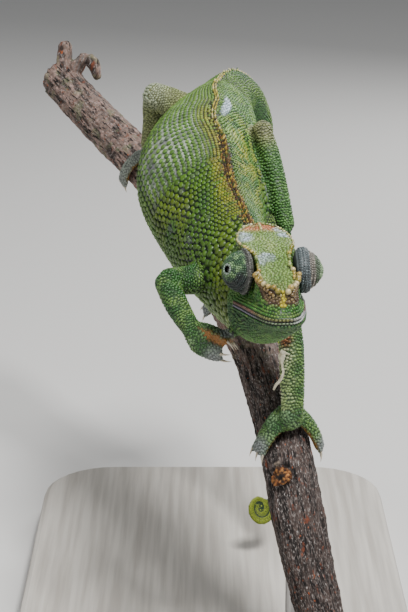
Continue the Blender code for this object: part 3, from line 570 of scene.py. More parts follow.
def head_marking(places, colours, between_scales_and_shade, within):
    """The head's own colours, laid over the body's."""
    inverse = np.array(on_head.inverted())
    x, y, z = (places @ inverse[:3, :3].T + inverse[:3, 3]).T
    on = within("head")
    side = np.abs(y)
    fine, patchy = cloud(places, 1.2, 6), cloud(places, 2.4, 14)
    colours = over(colours, on, srgb(72, 108, 30))
    colours = over(colours, on * smooth_step(-0.1, 0.4, fine) * 0.5, srgb(126, 146, 60))
    between_scales_and_shade = over(between_scales_and_shade, on, srgb(40, 56, 20))
    line = np.interp(x, [-14, -8.5, 0, 4, 6.5, 8.5, 10.3, 12], [6, 4.6, 2.5, 0.0, -1.1, -1.9, -2.4, -5.6])
    crown = on * smooth_step(-0.9, 0.1, z - line)
    colours = over(colours, crown * 0.6, srgb(126, 152, 76))
    colours = over(colours, crown * smooth_step(-0.1, 0.45, patchy) * 0.5, srgb(150, 162, 92))
    between_scales_and_shade = over(between_scales_and_shade, crown, srgb(76, 92, 42))
    rust = crown * spot(np.hypot(x + 13.0, y * 0.42) + 0.3 * fine, 2.3, 0.5)
    rust = rust * (0.4 + 0.6 * smooth_step(-0.6, 0.1, fine))
    colours = over(colours, rust, RUST)
    between_scales_and_shade = over(between_scales_and_shade, rust, RUST * 0.5)
    ragged = 0.5 * patchy + 0.4 * fine
    for px, py, wide, reach in ((-8.2, -4.0, 0.9, 2.0), (0.2, -2.2, 1.0, 1.25), (-0.6, -0.8, 1.0, 1.25),
                                (-8.8, 4.4, 1.5, 1.7), (-11.0, 3.2, 1.2, 1.0)):
        patch = crown * spot(np.hypot((x - px) * wide, y - py) + ragged, reach, 0.3)
        colours = over(colours, patch * (0.5 + 0.5 * smooth_step(-0.2, 0.1, fine)), CHALK)
        between_scales_and_shade = over(between_scales_and_shade, patch * 0.7, CHALK * 0.35)
    edge = np.interp(x, [-14, -12.4, -10, -7, -3.5, 0, 4, 6.5, 8.5, 10.0, 10.7],
                     [1.3, 3.0, 4.5, 5.15, 4.4, 3.6, 3.9, 3.3, 2.2, 1.1, 0.0])
    rim = crown * smooth_step(-1.0, -0.2, side - edge)
    colours = over(colours, rim * smooth_step(-0.3, 0.2, fine) * 0.7, CREAM)
    foot = np.interp(x, [-9, 0, 2.5, 4, 5.5, 7, 8.3, 9.9, 11.2, 12.2],
                     [-3.4, -3, -1.6, 0, -0.8, -2.1, -3.2, -3.6, -4.0, -4.15]) + 0.2 * fine
    muzzle = on * smooth_step(3.2, 4.6, x) * smooth_step(-0.3, 0.15, z - foot)
    snout = muzzle * np.clip(crown * smooth_step(-0.35, 0.1, side - edge) + (1 - crown), 0, 1)
    colours = over(colours, snout * 0.95, srgb(100, 80, 48))
    colours = over(colours, snout * smooth_step(0.0, 0.35, fine) * 0.8, srgb(150, 128, 78))
    colours = over(colours, snout * (1 - crown) * smooth_step(0.05, 0.35, -fine) * 0.8, srgb(78, 48, 30))
    # Darker down towards the crease under the muzzle's box: painted shade.
    low = snout * smooth_step(1.3, 0.2, z - foot)
    colours = over(colours, low * 0.6, srgb(74, 50, 34))
    between_scales_and_shade = over(between_scales_and_shade, snout, UMBER * 0.3)
    streak = on * spot(side + 0.3 * fine, 0.34, 0.5) * smooth_step(9.4, 10.0, x) * smooth_step(-4.4, -4.0, z)
    streak = streak * smooth_step(-1.2, -1.6, z)
    colours = over(colours, streak, GOLD)
    between_scales_and_shade = over(between_scales_and_shade, streak, GOLD * 0.6)
    band = on * (1 - smooth_step(-0.3, 0.15, z - foot)) * smooth_step(-9, -5, x)
    colours = over(colours, band, LIP_GREEN)
    colours = over(colours, band * smooth_step(0.05, 0.35, fine) * 0.45, PALE_GREEN)
    front = band * smooth_step(8, 11, x) * smooth_step(-0.2, 0.4, patchy)
    colours = over(colours, front * 0.35, srgb(120, 126, 50))
    between_scales_and_shade = over(between_scales_and_shade, band, LIP_GREEN * 0.3)
    # A near-black line along the mouth on the skin: painted shade in the closed mouth's slit.
    between_scales_and_shade = over(between_scales_and_shade, band * spot(np.abs(z - mouth_height(x)), 0.34, 0.3), srgb(18, 14, 12))
    cheek = on * smooth_step(-3.5, -6.5, x) * (1 - crown) * (1 - smooth_step(2.0, 3.5, z))
    colours = over(colours, cheek * 0.6, srgb(74, 112, 42))

    jaw = within("lower_jaw")
    colours = over(colours, jaw, JAW_GREEN)
    colours = over(colours, jaw * smooth_step(-9.4, -12.6, z - 0.25 * (x - 2)) * 0.85, CHIN_GREEN)
    colours = over(colours, jaw * smooth_step(0.0, 0.4, fine) * 0.35, LIMB_PALE)
    # The jaw's skin between its rows is near black: painted shade in the folds between the rows.
    between_scales_and_shade = over(between_scales_and_shade, jaw, srgb(12, 22, 10))
    # A near-black line along the mouth on the skin: painted shade in the closed mouth's slit.
    between_scales_and_shade = over(between_scales_and_shade, jaw * spot(np.abs(z - mouth_height(x)), 0.34, 0.3), srgb(18, 14, 12))
    return colours, between_scales_and_shade


def painted(places):
    colours, between_scales_and_shade, within, fine = body_marking(places)
    colours, between_scales_and_shade = limb_marking(places, colours, between_scales_and_shade, within, fine)
    return head_marking(places, colours, between_scales_and_shade, within)


def store_tint(piece, colours):
    tint = piece.data.attributes.new("tint", "FLOAT_COLOR", "POINT")
    tint.data.foreach_set("color", np.column_stack([colours, np.ones(len(colours))]).astype(np.float32).ravel())


skin_places = places_of(skin)
# The skin takes the colour between the scales, kept dark partly as painted shade in the gaps.
store_tint(skin, painted(skin_places)[1])


# The finish of skin and scales: satin, a little uneven in colour and gloss, with a fine grain
def group_of(name, inputs, outputs):
    group = bpy.data.node_groups.new(name, "ShaderNodeTree")
    for label, kind, value in inputs:
        socket = group.interface.new_socket(label, in_out="INPUT", socket_type=kind)
        socket.default_value = value
    for label, kind in outputs:
        group.interface.new_socket(label, in_out="OUTPUT", socket_type=kind)
    return group, group.nodes.new("NodeGroupInput"), group.nodes.new("NodeGroupOutput")


def grain_group():
    """Mottles a colour, and gives a roughness and a normal with a fine grain of a given size."""
    group, given, result = group_of(
        "grain",
        [("Color", "NodeSocketColor", (0.5, 0.5, 0.5, 1)), ("Size", "NodeSocketFloat", 0.4),
         ("Mottle", "NodeSocketFloat", 0.3), ("Roughness", "NodeSocketFloat", 0.5),
         ("Depth", "NodeSocketFloat", 0.3)],
        [("Color", "NodeSocketColor"), ("Roughness", "NodeSocketFloat"), ("Normal", "NodeSocketVector")],
    )
    nodes, links = group.nodes, group.links
    place = nodes.new("ShaderNodeTexCoord")
    scale = nodes.new("ShaderNodeMath")
    scale.operation = "DIVIDE"
    scale.inputs[0].default_value = 1000
    links.new(given.outputs["Size"], scale.inputs[1])
    grain = nodes.new("ShaderNodeTexNoise")
    grain.inputs["Detail"].default_value = 4
    links.new(place.outputs["Object"], grain.inputs["Vector"])
    links.new(scale.outputs[0], grain.inputs["Scale"])
    spread = nodes.new("ShaderNodeMapRange")
    spread.inputs["From Min"].default_value = 0.3
    spread.inputs["From Max"].default_value = 0.7
    spread.inputs["To Min"].default_value = -1
    links.new(grain.outputs["Fac"], spread.inputs["Value"])
    shade = nodes.new("ShaderNodeMath")
    shade.operation = "MULTIPLY_ADD"
    shade.inputs[2].default_value = 1
    links.new(spread.outputs["Result"], shade.inputs[0])
    links.new(given.outputs["Mottle"], shade.inputs[1])
    tone = nodes.new("ShaderNodeVectorMath")
    tone.operation = "SCALE"
    links.new(given.outputs["Color"], tone.inputs[0])
    links.new(shade.outputs[0], tone.inputs["Scale"])
    links.new(tone.outputs[0], result.inputs["Color"])
    gloss = nodes.new("ShaderNodeMath")
    gloss.operation = "MULTIPLY_ADD"
    gloss.inputs[1].default_value = 0.08
    links.new(spread.outputs["Result"], gloss.inputs[0])
    links.new(given.outputs["Roughness"], gloss.inputs[2])
    links.new(gloss.outputs[0], result.inputs["Roughness"])
    bump = nodes.new("ShaderNodeBump")
    bump.inputs["Distance"].default_value = 0.0001
    links.new(given.outputs["Depth"], bump.inputs["Strength"])
    links.new(grain.outputs["Fac"], bump.inputs["Height"])
    links.new(bump.outputs[0], result.inputs["Normal"])
    return group


grain = grain_group()


def tinted(name, size, mottle, roughness, depth, specular=0.5):
    """A material that takes its colour from a piece's tint and its grain from the group."""
    made = bpy.data.materials.new(name)
    made.use_nodes = True
    nodes, links = made.node_tree.nodes, made.node_tree.links
    shader = nodes["Principled BSDF"]
    tint = nodes.new("ShaderNodeAttribute")
    tint.attribute_name = "tint"
    rough = nodes.new("ShaderNodeGroup")
    rough.node_tree = grain
    rough.inputs["Size"].default_value = size
    rough.inputs["Mottle"].default_value = mottle
    rough.inputs["Roughness"].default_value = roughness
    rough.inputs["Depth"].default_value = depth
    links.new(tint.outputs["Color"], rough.inputs["Color"])
    links.new(rough.outputs["Color"], shader.inputs["Base Color"])
    links.new(rough.outputs["Roughness"], shader.inputs["Roughness"])
    links.new(rough.outputs["Normal"], shader.inputs["Normal"])
    shader.inputs["Specular IOR Level"].default_value = specular
    return made


skin_finish = tinted("chameleon skin", 0.5, 0.35, 0.55, 0.5)
scale_finish = tinted("chameleon scales", 0.35, 0.22, 0.46, 0.35)
bead_finish = tinted("polished beads", 0.35, 0.18, 0.30, 0.2)
skin.data.materials.append(skin_finish)


def unwrap(piece):
    """An unwrap of a skin's own shape, on which the scales have their patches."""
    bpy.ops.object.select_all(action="DESELECT")
    piece.select_set(True)
    bpy.context.view_layer.objects.active = piece
    bpy.ops.object.mode_set(mode="EDIT")
    bpy.ops.mesh.select_all(action="SELECT")
    bpy.ops.uv.smart_project(angle_limit=math.radians(66), island_margin=0.002)
    bpy.ops.object.mode_set(mode="OBJECT")
    piece.select_set(False)
    layer = piece.data.uv_layers.active
    layer.name = "OFBake"
    corners = np.empty(len(piece.data.loops) * 2, np.float32)
    layer.data.foreach_get("uv", corners)
    corners = corners.reshape(-1, 2)
    return [corners[p.loop_start:p.loop_start + p.loop_total].mean(0) for p in piece.data.polygons]


skin_map = unwrap(skin)
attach(skin, "root")
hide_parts(*FLESH)

# The scales: low domes with their roots sunk in the skin, in rows round the trunk. They are largest low on
# the flanks, small beside the ridge of the back, and each is a little unlike the next.
Root = namedtuple("Root", "place normal heading width length height patch")
PATCH = 0.0015
# Each ring of a dome is its radius, its rise and its shade, the share of the top's colour that it gets: painted
# shade that darkens each scale towards its sunk root.
SCALE_DOME = ((1.0, -0.60, 0.0), (0.99, 0.10, 0.10), (0.84, 0.72, 0.62), (0.46, 0.97, 1.0))
GRANULE_DOME = ((1.0, -0.40, 0.1), (0.88, 0.45, 0.65))
LIMB_DOME = ((1.0, -0.45, 0.0), (0.96, 0.15, 0.25), (0.62, 0.84, 0.95))
BEAD_DOME = ((1.0, -0.35, 0.1), (1.0, 0.20, 0.5), (0.80, 0.68, 0.85), (0.42, 0.94, 1.0))
CONE = ((1.0, -0.35, 0.1), (0.82, 0.15, 0.6), (0.42, 0.62, 1.0))
PAINTED_ROOT_SHADE = np.array((0.20, 0.34, 0.36))
PIECE_TRIANGLES = 185000
draw = random.Random(11)


def keeled(half_width, half_height, angle):
    keel = 0.5 * max(0.0, math.cos(angle)) ** 40
    return half_width * math.sin(angle) * (1 - 0.12 * math.cos(angle)), half_height * math.cos(angle) + keel


def oval(half_width, half_height, angle):
    return half_width * math.sin(angle), half_height * math.cos(angle)


def root_at(place, outward, heading, width, length, height, reach=0.9):
    """A root on the skin nearest to a place, or nothing where the skin is far or faces elsewhere."""
    hit, normal, face, far = skin_tree.find_nearest(place * MM)
    if hit is None or far > reach * MM or normal.dot(outward) < 0.35:
        return None
    return Root(hit / MM, (normal + outward).normalized(), heading, width, length, height, skin_map[face])


def rows_round(girths, start, end, count, band=(-math.pi, math.pi), section=oval, fill=(0.92, 0.95), rise=0.3,
               stride=0.87, stagger=0.5, wander=0.0):
    """Rows of scales across a band of a body or limb, with the same number of scales in each row. Stride is
    the step from row to row, counted in the step from scale to scale."""
    roots = []
    t, row = start, 0
    first, last = band
    while t < end:
        middle, heading, side, back, speed = frame_at(girths, t)
        half_width, half_height = sizes_at(girths, t)
        step = (last - first) / count
        spacing = step * math.sqrt((half_width ** 2 + half_height ** 2) / 2)
        for i in range(count):
            angle = first + step * (i + 0.5 + stagger * ((row % 2) - 0.5) + wander * draw.uniform(-0.5, 0.5))
            out, high = section(half_width, half_height, angle)
            outward = side * (out / half_width) + back * (high / half_height)
            size = spacing * draw.uniform(0.92, 1.08)
            wave = noise.noise(Vector((math.cos(angle) * 2.2, math.sin(angle) * 2.2, t * speed * 0.35)))
            root = root_at(middle + side * out + back * high + heading * (spacing * wander * 2.2 * wave),
                           outward.normalized(), heading, size * fill[0], size * fill[1], spacing * rise)
            roots.append(root)
        t += spacing * stride / speed
        row += 1
    return [r for r in roots if r]


def scale_piece(name, roots, tops, dome, sides, finish):
    """One mesh of many domes: their places in the mesh, their colours and their patches for the bake."""
    count = len(roots)
    place = np.array([r.place for r in roots])
    normal = np.array([r.normal for r in roots])
    heading = np.array([r.heading for r in roots])
    side = np.cross(normal, heading)
    side /= np.linalg.norm(side, axis=1)[:, None]
    heading = np.cross(side, normal)
    width, length, height = (np.array([getattr(r, key) for r in roots]) for key in ("width", "length", "height"))
    turns = [2 * math.pi * (i + 0.5) / sides for i in range(sides)]
    local = [(math.cos(a) * radius, math.sin(a) * radius, rise) for radius, rise, shade in dome for a in turns]
    local = np.array(local + [(0, 0, 1.0)])
    shade = np.array([shade for radius, rise, shade in dome for a in turns] + [1.0])
    points = (
        place[:, None, :]
        + heading[:, None, :] * (local[None, :, 0] * length[:, None] / 2)[:, :, None]
        + side[:, None, :] * (local[None, :, 1] * width[:, None] / 2)[:, :, None]
        + normal[:, None, :] * (local[None, :, 2] * height[:, None])[:, :, None]
    )
    faces = [list(reversed(range(sides)))]
    for ring in range(len(dome) - 1):
        for i in range(sides):
            j = (i + 1) % sides
            a, b = ring * sides, (ring + 1) * sides
            faces.append([a + i, a + j, b + j, b + i])
    apex = len(local) - 1
    last = (len(dome) - 1) * sides
    faces += [[last + i, last + (i + 1) % sides, apex] for i in range(sides)]
    corners = np.array([v for face in faces for v in face])
    starts = np.cumsum([0] + [len(face) for face in faces[:-1]])
    mesh = bpy.data.meshes.new(name)
    mesh.vertices.add(count * len(local))
    mesh.vertices.foreach_set("co", (points * MM).astype(np.float32).ravel())
    mesh.loops.add(count * len(corners))
    mesh.polygons.add(count * len(faces))
    each = np.arange(count)
    all_corners = corners[None] + each[:, None] * len(local)
    all_starts = starts[None] + each[:, None] * len(corners)
    mesh.loops.foreach_set("vertex_index", all_corners.ravel().astype(np.int32))
    mesh.polygons.foreach_set("loop_start", all_starts.ravel().astype(np.int32))
    mesh.update(calc_edges=True)
    mesh.shade_smooth()
    layer = mesh.uv_layers.new(name="OFBake")
    patch = np.array([r.patch for r in roots])
    flat = patch[:, None, :] + local[None, corners, :2] * PATCH
    layer.data.foreach_set("uv", flat.astype(np.float32).ravel())
    made = linked(name, mesh)
    # Each dome darkens from its top's colour down to its root: painted shade where the scale meets the skin.
    tones = tops[:, None, :] * (PAINTED_ROOT_SHADE + (1 - PAINTED_ROOT_SHADE) * shade[:, None])[None]
    store_tint(made, tones.reshape(-1, 3))
    mesh.materials.append(finish)
    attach(made, "root")
    return made


def varied(colours, spread, seed):
    """Colours with each scale a little lighter or darker than the next."""
    rng = np.random.default_rng(seed)
    return np.clip(colours * (1 + spread * rng.uniform(-1, 1, (len(colours), 1))), 0, 1)


def dress(name, roots, dome, sides, seed, finish=scale_finish, spread=0.16):
    """Scales in the body's colours, as more than one piece where there are very many."""
    tops = varied(painted(np.array([r.place for r in roots]))[0], spread, seed)
    most = PIECE_TRIANGLES // (2 * sides * len(dome) - 2)
    pieces = -(-len(roots) // most)
    for i in range(pieces):
        share = slice(i * most, (i + 1) * most)
        label = name if pieces == 1 else f"{name}_{i + 1}"
        scale_piece(label, roots[share], tops[share], dome, sides, finish)


FLANK_START = 2.35
FLANK_TURN = 4.05
FLANK_END = 7.7
FLANK_BANDS = [
    ((-0.40, -0.12), 4, 0.24), ((-0.86, -0.40), 5, 0.25), ((-2.45, -0.86), 14, 0.25), ((-3.14, -2.45), 7, 0.22),
    ((1.0, 2.45), 13, 0.25), ((2.45, 3.14), 7, 0.22),
]
flank_roots = []
for band, count, rise in FLANK_BANDS:
    flank_roots += rows_round(body, FLANK_START, FLANK_TURN, count, band, keeled, (0.94, 1.26), rise,
                              stride=1.18, wander=0.16)
    flank_roots += rows_round(body, FLANK_TURN, FLANK_END, count, band, keeled, (0.84, 0.84), rise,
                              stride=0.86, stagger=0.0, wander=0.14)
flank_roots += rows_round(body, FLANK_START, FLANK_END, 15, (0.13, 1.0), keeled, (0.88, 0.86),
                          stride=0.95, wander=0.45)
dress("flank_scales", flank_roots, SCALE_DOME, 10, 1, spread=0.26)

# The crest: small cones along the middle of the back and the root of the tail, and lower ones beside them.
# Towards the neck they stand in a band of mixed browns, and towards the tail in a fine double line.
CREST_ROWS = [
    (0.0, 0.76, 0.70, 0.72, 0.8, 4.9),
    (-0.45, 0.64, 0.60, 0.42, 0.8, 4.9),
    (0.45, 0.64, 0.60, 0.42, 0.8, 4.8),
    (-0.9, 0.60, 0.56, 0.30, 1.5, 4.7),
    (0.9, 0.60, 0.56, 0.30, 1.5, 4.2),
    (-1.3, 0.60, 0.52, 0.24, 2.0, 3.9),
    (-0.25, 0.62, 0.54, 0.50, 4.9, 12.2),
    (0.25, 0.62, 0.54, 0.50, 4.9, 12.2),
]


def crest_roots():
    """Cones along each row, which stands aside of the middle and has a spacing, width, height, start and end."""
    roots = []
    for aside, spacing, width, height, start, end in CREST_ROWS:
        t = start + draw.random() * 0.05
        while t < end:
            middle, heading, side, back, speed = frame_at(body, t)
            half_width, half_height = sizes_at(body, t)
            shrink = 1.0 if t < 8 else max(0.55, 1 - 0.11 * (t - 8))
            offset = aside * shrink * draw.uniform(0.85, 1.15)
            above = middle + side * offset + back * (half_height + 3)
            hit, normal, face, far = skin_tree.ray_cast(above * MM, -back)
            step = spacing * shrink * draw.uniform(0.88, 1.14)
            if hit is not None:
                size = width * shrink * draw.uniform(0.85, 1.15)
                lean = (back * 1.4 + normal + heading * 0.3).normalized()
                tall = height * shrink * draw.uniform(0.75, 1.15)
                roots.append(Root(hit / MM, lean, heading, size * 0.9, size * 0.95, tall, skin_map[face]))
            t += step / speed
    return roots


def crest_colours(roots):
    """Rust, ochre and dark brown mixed towards the neck, cream and yellow towards the tail."""
    along, turn = body_place(np.array([r.place for r in roots]))
    front = [srgb(124, 92, 24), srgb(56, 40, 16), srgb(150, 128, 40), srgb(58, 74, 20), srgb(88, 60, 20)]
    rear = [srgb(182, 162, 74), srgb(134, 126, 46), srgb(200, 188, 128)]
    tail = [srgb(204, 190, 130), srgb(176, 172, 104)]
    tops = []
    for t in along:
        t += draw.uniform(-0.5, 0.5)
        tops.append(draw.choice(front if t < 4.9 else rear if t < 7.4 else tail))
    return np.array(tops)


crest = crest_roots()
scale_piece("crest_cones", crest, varied(crest_colours(crest), 0.22, 6), CONE, 8, scale_finish)

# The tail's scales, in rings
tail_roots = []
for start, end, count in ((7.7, 9.6, 54), (9.6, 11.6, 44), (11.6, 15.0, 32), (15.0, BODY_END - 3.0, 20),
                          (BODY_END - 3.0, BODY_END - 0.15, 12)):
    tail_roots += rows_round(body, start, end, count, rise=0.24, fill=(0.94, 0.98), wander=0.3)
dress("tail_scales", tail_roots, GRANULE_DOME, 6, 2, spread=0.2)

# The limbs' scales, in close rows across each part of a limb, which wander a little from row to row
ARM_LEFT = [((6.5, -11.0, 79.5), 3.2), ((10.6, -16.0, 76.0), 2.8), ((14.2, -21.6, 73.2), 2.4)]
FOREARM_LEFT = [((14.3, -21.8, 73.0), 2.45), ((14.6, -25.4, 65.4), 2.5), ((14.7, -28.0, 58.4), 2.35)]
ARM_RIGHT = [((3.0, -11.0, 80.0), 3.8), ((-3.2, -16.2, 79.4), 3.1), ((-8.4, -20.2, 80.4), 2.6)]
FOREARM_RIGHT = [((-9.0, -20.8, 80.1), 2.5), ((-6.9, -27.2, 77.4), 2.3), ((-4.0, -33.2, 74.6), 1.85)]
THIGH_LEFT = [((3.0, 31.0, 97.6), 4.2), ((7.6, 23.4, 96.8), 3.0), ((10.0, 15.0, 101.8), 2.2)]
SHANK_LEFT = [((10.1, 14.6, 101.6), 2.2), ((12.2, 8.4, 94.4), 2.2), ((14.3, 2.2, 85.4), 2.05)]
THIGH_RIGHT = [((-1.0, 31.0, 98.2), 4.4), ((-7.0, 33.6, 102.8), 3.5), ((-12.6, 35.1, 105.2), 2.8)]
SHANK_RIGHT = [((-12.9, 35.3, 104.8), 2.7), ((-13.0, 38.4, 99.0), 2.4), ((-14.2, 41.6, 93.0), 1.95)]
LIMBS = (ARM_LEFT, FOREARM_LEFT, ARM_RIGHT, FOREARM_RIGHT, THIGH_LEFT, SHANK_LEFT, THIGH_RIGHT, SHANK_RIGHT)
LIMB_SCALE = 0.72

limb_roots = []
for joints in LIMBS:
    girths = [Girth(place, radius, radius, (0, 0, 1)) for place, radius in joints]
    around = round(2 * math.pi * joints[1][1] / LIMB_SCALE)
    limb_roots += rows_round(girths, -0.12, 2.12, around, rise=0.36, fill=(1.06, 0.80), wander=0.42)
dress("limb_scales", limb_roots, LIMB_DOME, 7, 3, spread=0.30)

# The head's large beads, which shine: two rows down each side of the snout to the pair of knobs at its
# end, single rows over the brows and along the rim of the casque, and its midline
BEAD_LINES = [
    ([(1.6, 3.7, 1.9), (3.4, 3.95, 0.85), (4.9, 3.8, 0.25), (6.2, 3.4, -0.35), (7.3, 2.85, -0.65),
      (8.4, 2.2, -0.95), (9.4, 1.45, -1.3), (10.2, 0.74, -1.55)], 0.42, 0.60, 0.62),
    ([(2.8, 3.15, 1.3), (4.4, 3.05, 0.75), (6.0, 2.6, 0.2)], 0.30, 0.34, 0.35),
    ([(2.6, 4.3, 0.2), (4.6, 4.25, -0.4), (6.4, 3.85, -0.95), (7.8, 3.05, -1.35), (9.0, 2.2, -1.8),
      (10.0, 1.5, -2.3)], 0.34, 0.44, 0.10),
    ([(0.8, 3.5, 2.45), (-0.6, 3.55, 3.05), (-2.0, 3.9, 3.5), (-3.5, 4.5, 3.8)], 0.42, 0.40, 0.45),
    ([(-1.2, 2.95, 3.3), (0.4, 2.75, 2.7), (1.8, 2.85, 2.1), (3.4, 3.0, 1.2)], 0.30, 0.38, 0.25),
    ([(-4.3, 4.75, 3.9), (-5.6, 5.1, 4.1), (-7.2, 5.25, 4.35), (-8.8, 5.0, 4.7), (-10.2, 4.5, 5.0),
      (-11.3, 3.9, 5.35), (-12.4, 3.1, 5.7), (-13.4, 2.0, 5.9), (-14.0, 0.9, 6.1)], 0.27, 0.34, 0.25),
    ([(-14.2, 0.0, 6.1), (-12.3, 0.0, 5.9), (-10.6, 0.0, 5.5)], 0.32, 0.24, 0.2),
]
STRING_STEPS = 60


def bead_roots():
    """Beads strung evenly along the lines on both sides, each resting on the skin."""
    roots = []
    for line, first, last, rise in BEAD_LINES:
        points = [Vector(p) for p in line]
        fine = [between(points, (len(points) - 1) * i / STRING_STEPS) for i in range(STRING_STEPS + 1)]
        reach = np.cumsum([0.0] + [(b - a).length for a, b in zip(fine, fine[1:])])
        count = round(reach[-1] / (first + last) / 0.96)
        places = np.cumsum([0.0] + [first + (last - first) * (i + 0.5) / count for i in range(count)])
        places *= reach[-1] / places[-1]
        for side in (1, -1) if line[0][1] else (1,):
            for i, goal in enumerate(places):
                radius = (first + (last - first) * i / count) * draw.uniform(0.82, 1.10)
                goal = min(max(goal + draw.uniform(-0.08, 0.08), 0.0), reach[-1])
                k = min(int(np.searchsorted(reach, goal, "right")) - 1, STRING_STEPS - 1)
                place = fine[k].lerp(fine[k + 1], (goal - reach[k]) / (reach[k + 1] - reach[k]))
                ahead = fine[k + 1] - fine[k]
                world = on_head @ Vector((place.x, place.y * side, place.z))
                hit, normal, face, far = skin_tree.find_nearest(world * MM)
                heading = (on_head.to_3x3() @ Vector((ahead.x, ahead.y * side, ahead.z))).normalized()
                roots.append(Root(hit / MM, normal, heading, radius * 1.95, radius * 1.95,
                                  radius * (0.9 + rise * 0.5), skin_map[face]))
    return roots


BEAD_MIXES = {
    "inner brow": ((122, 130, 58), (150, 146, 76), (138, 150, 84)),
    "casque": ((170, 164, 92), (132, 136, 70), (190, 180, 134), (150, 140, 96)),
    "brow": ((156, 142, 50), (128, 124, 40), (176, 158, 88)),
    "muzzle": ((110, 86, 50), (126, 104, 62), (96, 76, 44)),
    "snout": ((170, 144, 78), (146, 120, 56), (188, 170, 122), (138, 124, 48)),
}


def bead_colours(roots):
    """Tan, cream and olive-yellow beads, each its own, paler along the rim of the casque."""
    inverse = on_head.inverted()
    tops = []
    for root in roots:
        forward, leftward, upward = inverse @ root.place
        if -1.6 < forward < 3.0 and abs(leftward) < 3.2:
            where = "inner brow"
        elif forward < -3.8:
            where = "casque"
        elif forward < 2.4:
            where = "brow"
        elif upward < 1.75 - 0.36 * forward:
            where = "muzzle"
        else:
            where = "snout"
        tops.append(srgb(*draw.choice(BEAD_MIXES[where])))
    return np.array(tops)


beads = bead_roots()
scale_piece("head_beads", beads, varied(bead_colours(beads), 0.14, 7), BEAD_DOME, 12, bead_finish)

# The lips and the jaw: a row of plates above and below the mouth, and under them granules in rows that
# run along the jaw, with dark folds between some of them
LIP_HALF_TURN = 126
LIP_STATIONS = 150
TRACE_STEPS = 40
TRACE_TURN = 100
LIP_CENTRE_X = 2.0
LABIAL = 0.66
JAW_ROW = 0.86
JAW_ROWS = 14
LIP_ROW = 0.56
LIP_ROWS = 2


def skin_from(start, direction):
    """Where a ray from inside the head leaves the skin, in the head's own frame."""
    origin = on_head @ start
    way = (on_head.to_3x3() @ direction).normalized()
    hit, normal, face, far = skin_tree.ray_cast((origin + way * 25) * MM, -way)
    return (on_head.inverted() @ (hit / MM)) if hit is not None else None


def lip_stations():
    """Places round the mouth, from its right corner past the snout to its left."""
    stations = []
    for i in range(LIP_STATIONS + 1):
        angle = math.radians(LIP_HALF_TURN) * (2 * i / LIP_STATIONS - 1)
        outward = Vector((math.cos(angle), math.sin(angle), 0))
        height = float(mouth_height(6))
        for _ in range(3):
            found = skin_from(Vector((LIP_CENTRE_X, 0, height)), outward)
            height = float(mouth_height(found.x))
        stations.append((found, outward))
    return stations


def rows_from_lips(first, spacing, count, down):
    """Rows of places over the skin, each a constant distance further from the mouth than the last."""
    traces = []
    for lip, outward in lip_stations():
        start = Vector((LIP_CENTRE_X + (lip.x - LIP_CENTRE_X) * 0.6, lip.y * 0.15, lip.z))
        level = (lip - start).normalized()
        trace = []
        for i in range(TRACE_STEPS):
            slope = math.radians(TRACE_TURN) * i / (TRACE_STEPS - 1)
            way = level * math.cos(slope) + Vector((0, 0, -1 if down else 1)) * math.sin(slope)
            found = skin_from(start, way)
            if found is None:
                break
            trace.append(found)
        reach = [0.0]
        for a, b in zip(trace, trace[1:]):
            reach.append(reach[-1] + (b - a).length)
        traces.append((trace, reach))
    rows = []
    for row in range(count):
        goal = first + row * spacing
        line = []
        for trace, reach in traces:
            if reach[-1] > goal:
                i = max(k for k in range(len(reach)) if reach[k] <= goal)
                share = (goal - reach[i]) / (reach[i + 1] - reach[i])
                line.append(trace[i].lerp(trace[i + 1], share))
            else:
                line.append(None)
        rows.append(line)
    return rows


def strung(line, spacing, shift):
    """Places at equal steps along a line that may have breaks, and the way it runs there."""
    left = shift * spacing
    for a, b in zip(line, line[1:]):
        if a is None or b is None or (b - a).length > 2.0:
            left = shift * spacing
            continue
        length = (b - a).length
        while left < length:
            yield a.lerp(b, left / length), (b - a).normalized()
            left += spacing
        left -= length


def row_roots(rows, spacing, width, height, nodes, length=1.02, waves=0.0):
    """Scales along the rows, which wander up and down by the waves' height."""
    roots = []
    for number, line in enumerate(rows):
        for place, way in strung(line, spacing, 0.5 * (number % 2)):
            drift = noise.noise(Vector((place.x * 0.32, place.y * 0.32, number * 0.35)))
            world = on_head @ (place + Vector((0, 0, waves * drift * min(number, 3) / 3)))
            hit, normal, face, far = skin_tree.find_nearest(world * MM)
            if owners[solid_tree.find_nearest(hit)[2]] not in nodes:
                continue
            heading = (on_head.to_3x3() @ way).normalized()
            size = spacing * draw.uniform(0.94, 1.08)
            roots.append(Root(hit / MM, normal, heading, size * width, size * length, height, skin_map[face]))
    return roots


upper_labials = row_roots(rows_from_lips(0.34, LABIAL, 1, False), LABIAL, 0.84, 0.22, ("head",))
lower_labials = row_roots(rows_from_lips(0.26, LABIAL, 1, True), LABIAL, 0.52, 0.20, ("lower_jaw",))
lip_rows = row_roots(rows_from_lips(0.32 + LABIAL, LIP_ROW, LIP_ROWS, False), LIP_ROW, 1.0, 0.2, ("head",))
jaw_rows = row_roots(rows_from_lips(0.76, JAW_ROW, JAW_ROWS, True), JAW_ROW * 0.72, 0.84, 0.34, ("lower_jaw",),
                     length=1.0, waves=1.6)


def lip_piece(name, roots, colours, seed):
    """A row of lip plates, whose colour changes from the corner of the mouth to the front."""
    inverse = on_head.inverted()
    forward = np.array([(inverse @ r.place).x for r in roots])
    leftward = np.array([(inverse @ r.place).y for r in roots])
    tops = np.tile(colours[0], (len(roots), 1))
    tops = over(tops, smooth_step(5.5, 9.5, forward), colours[1])
    tops = over(tops, smooth_step(0.5, 3.0, leftward) * smooth_step(6, 9, forward), colours[2])
    scale_piece(name, roots, varied(tops, 0.18, seed), BEAD_DOME, 8, bead_finish)


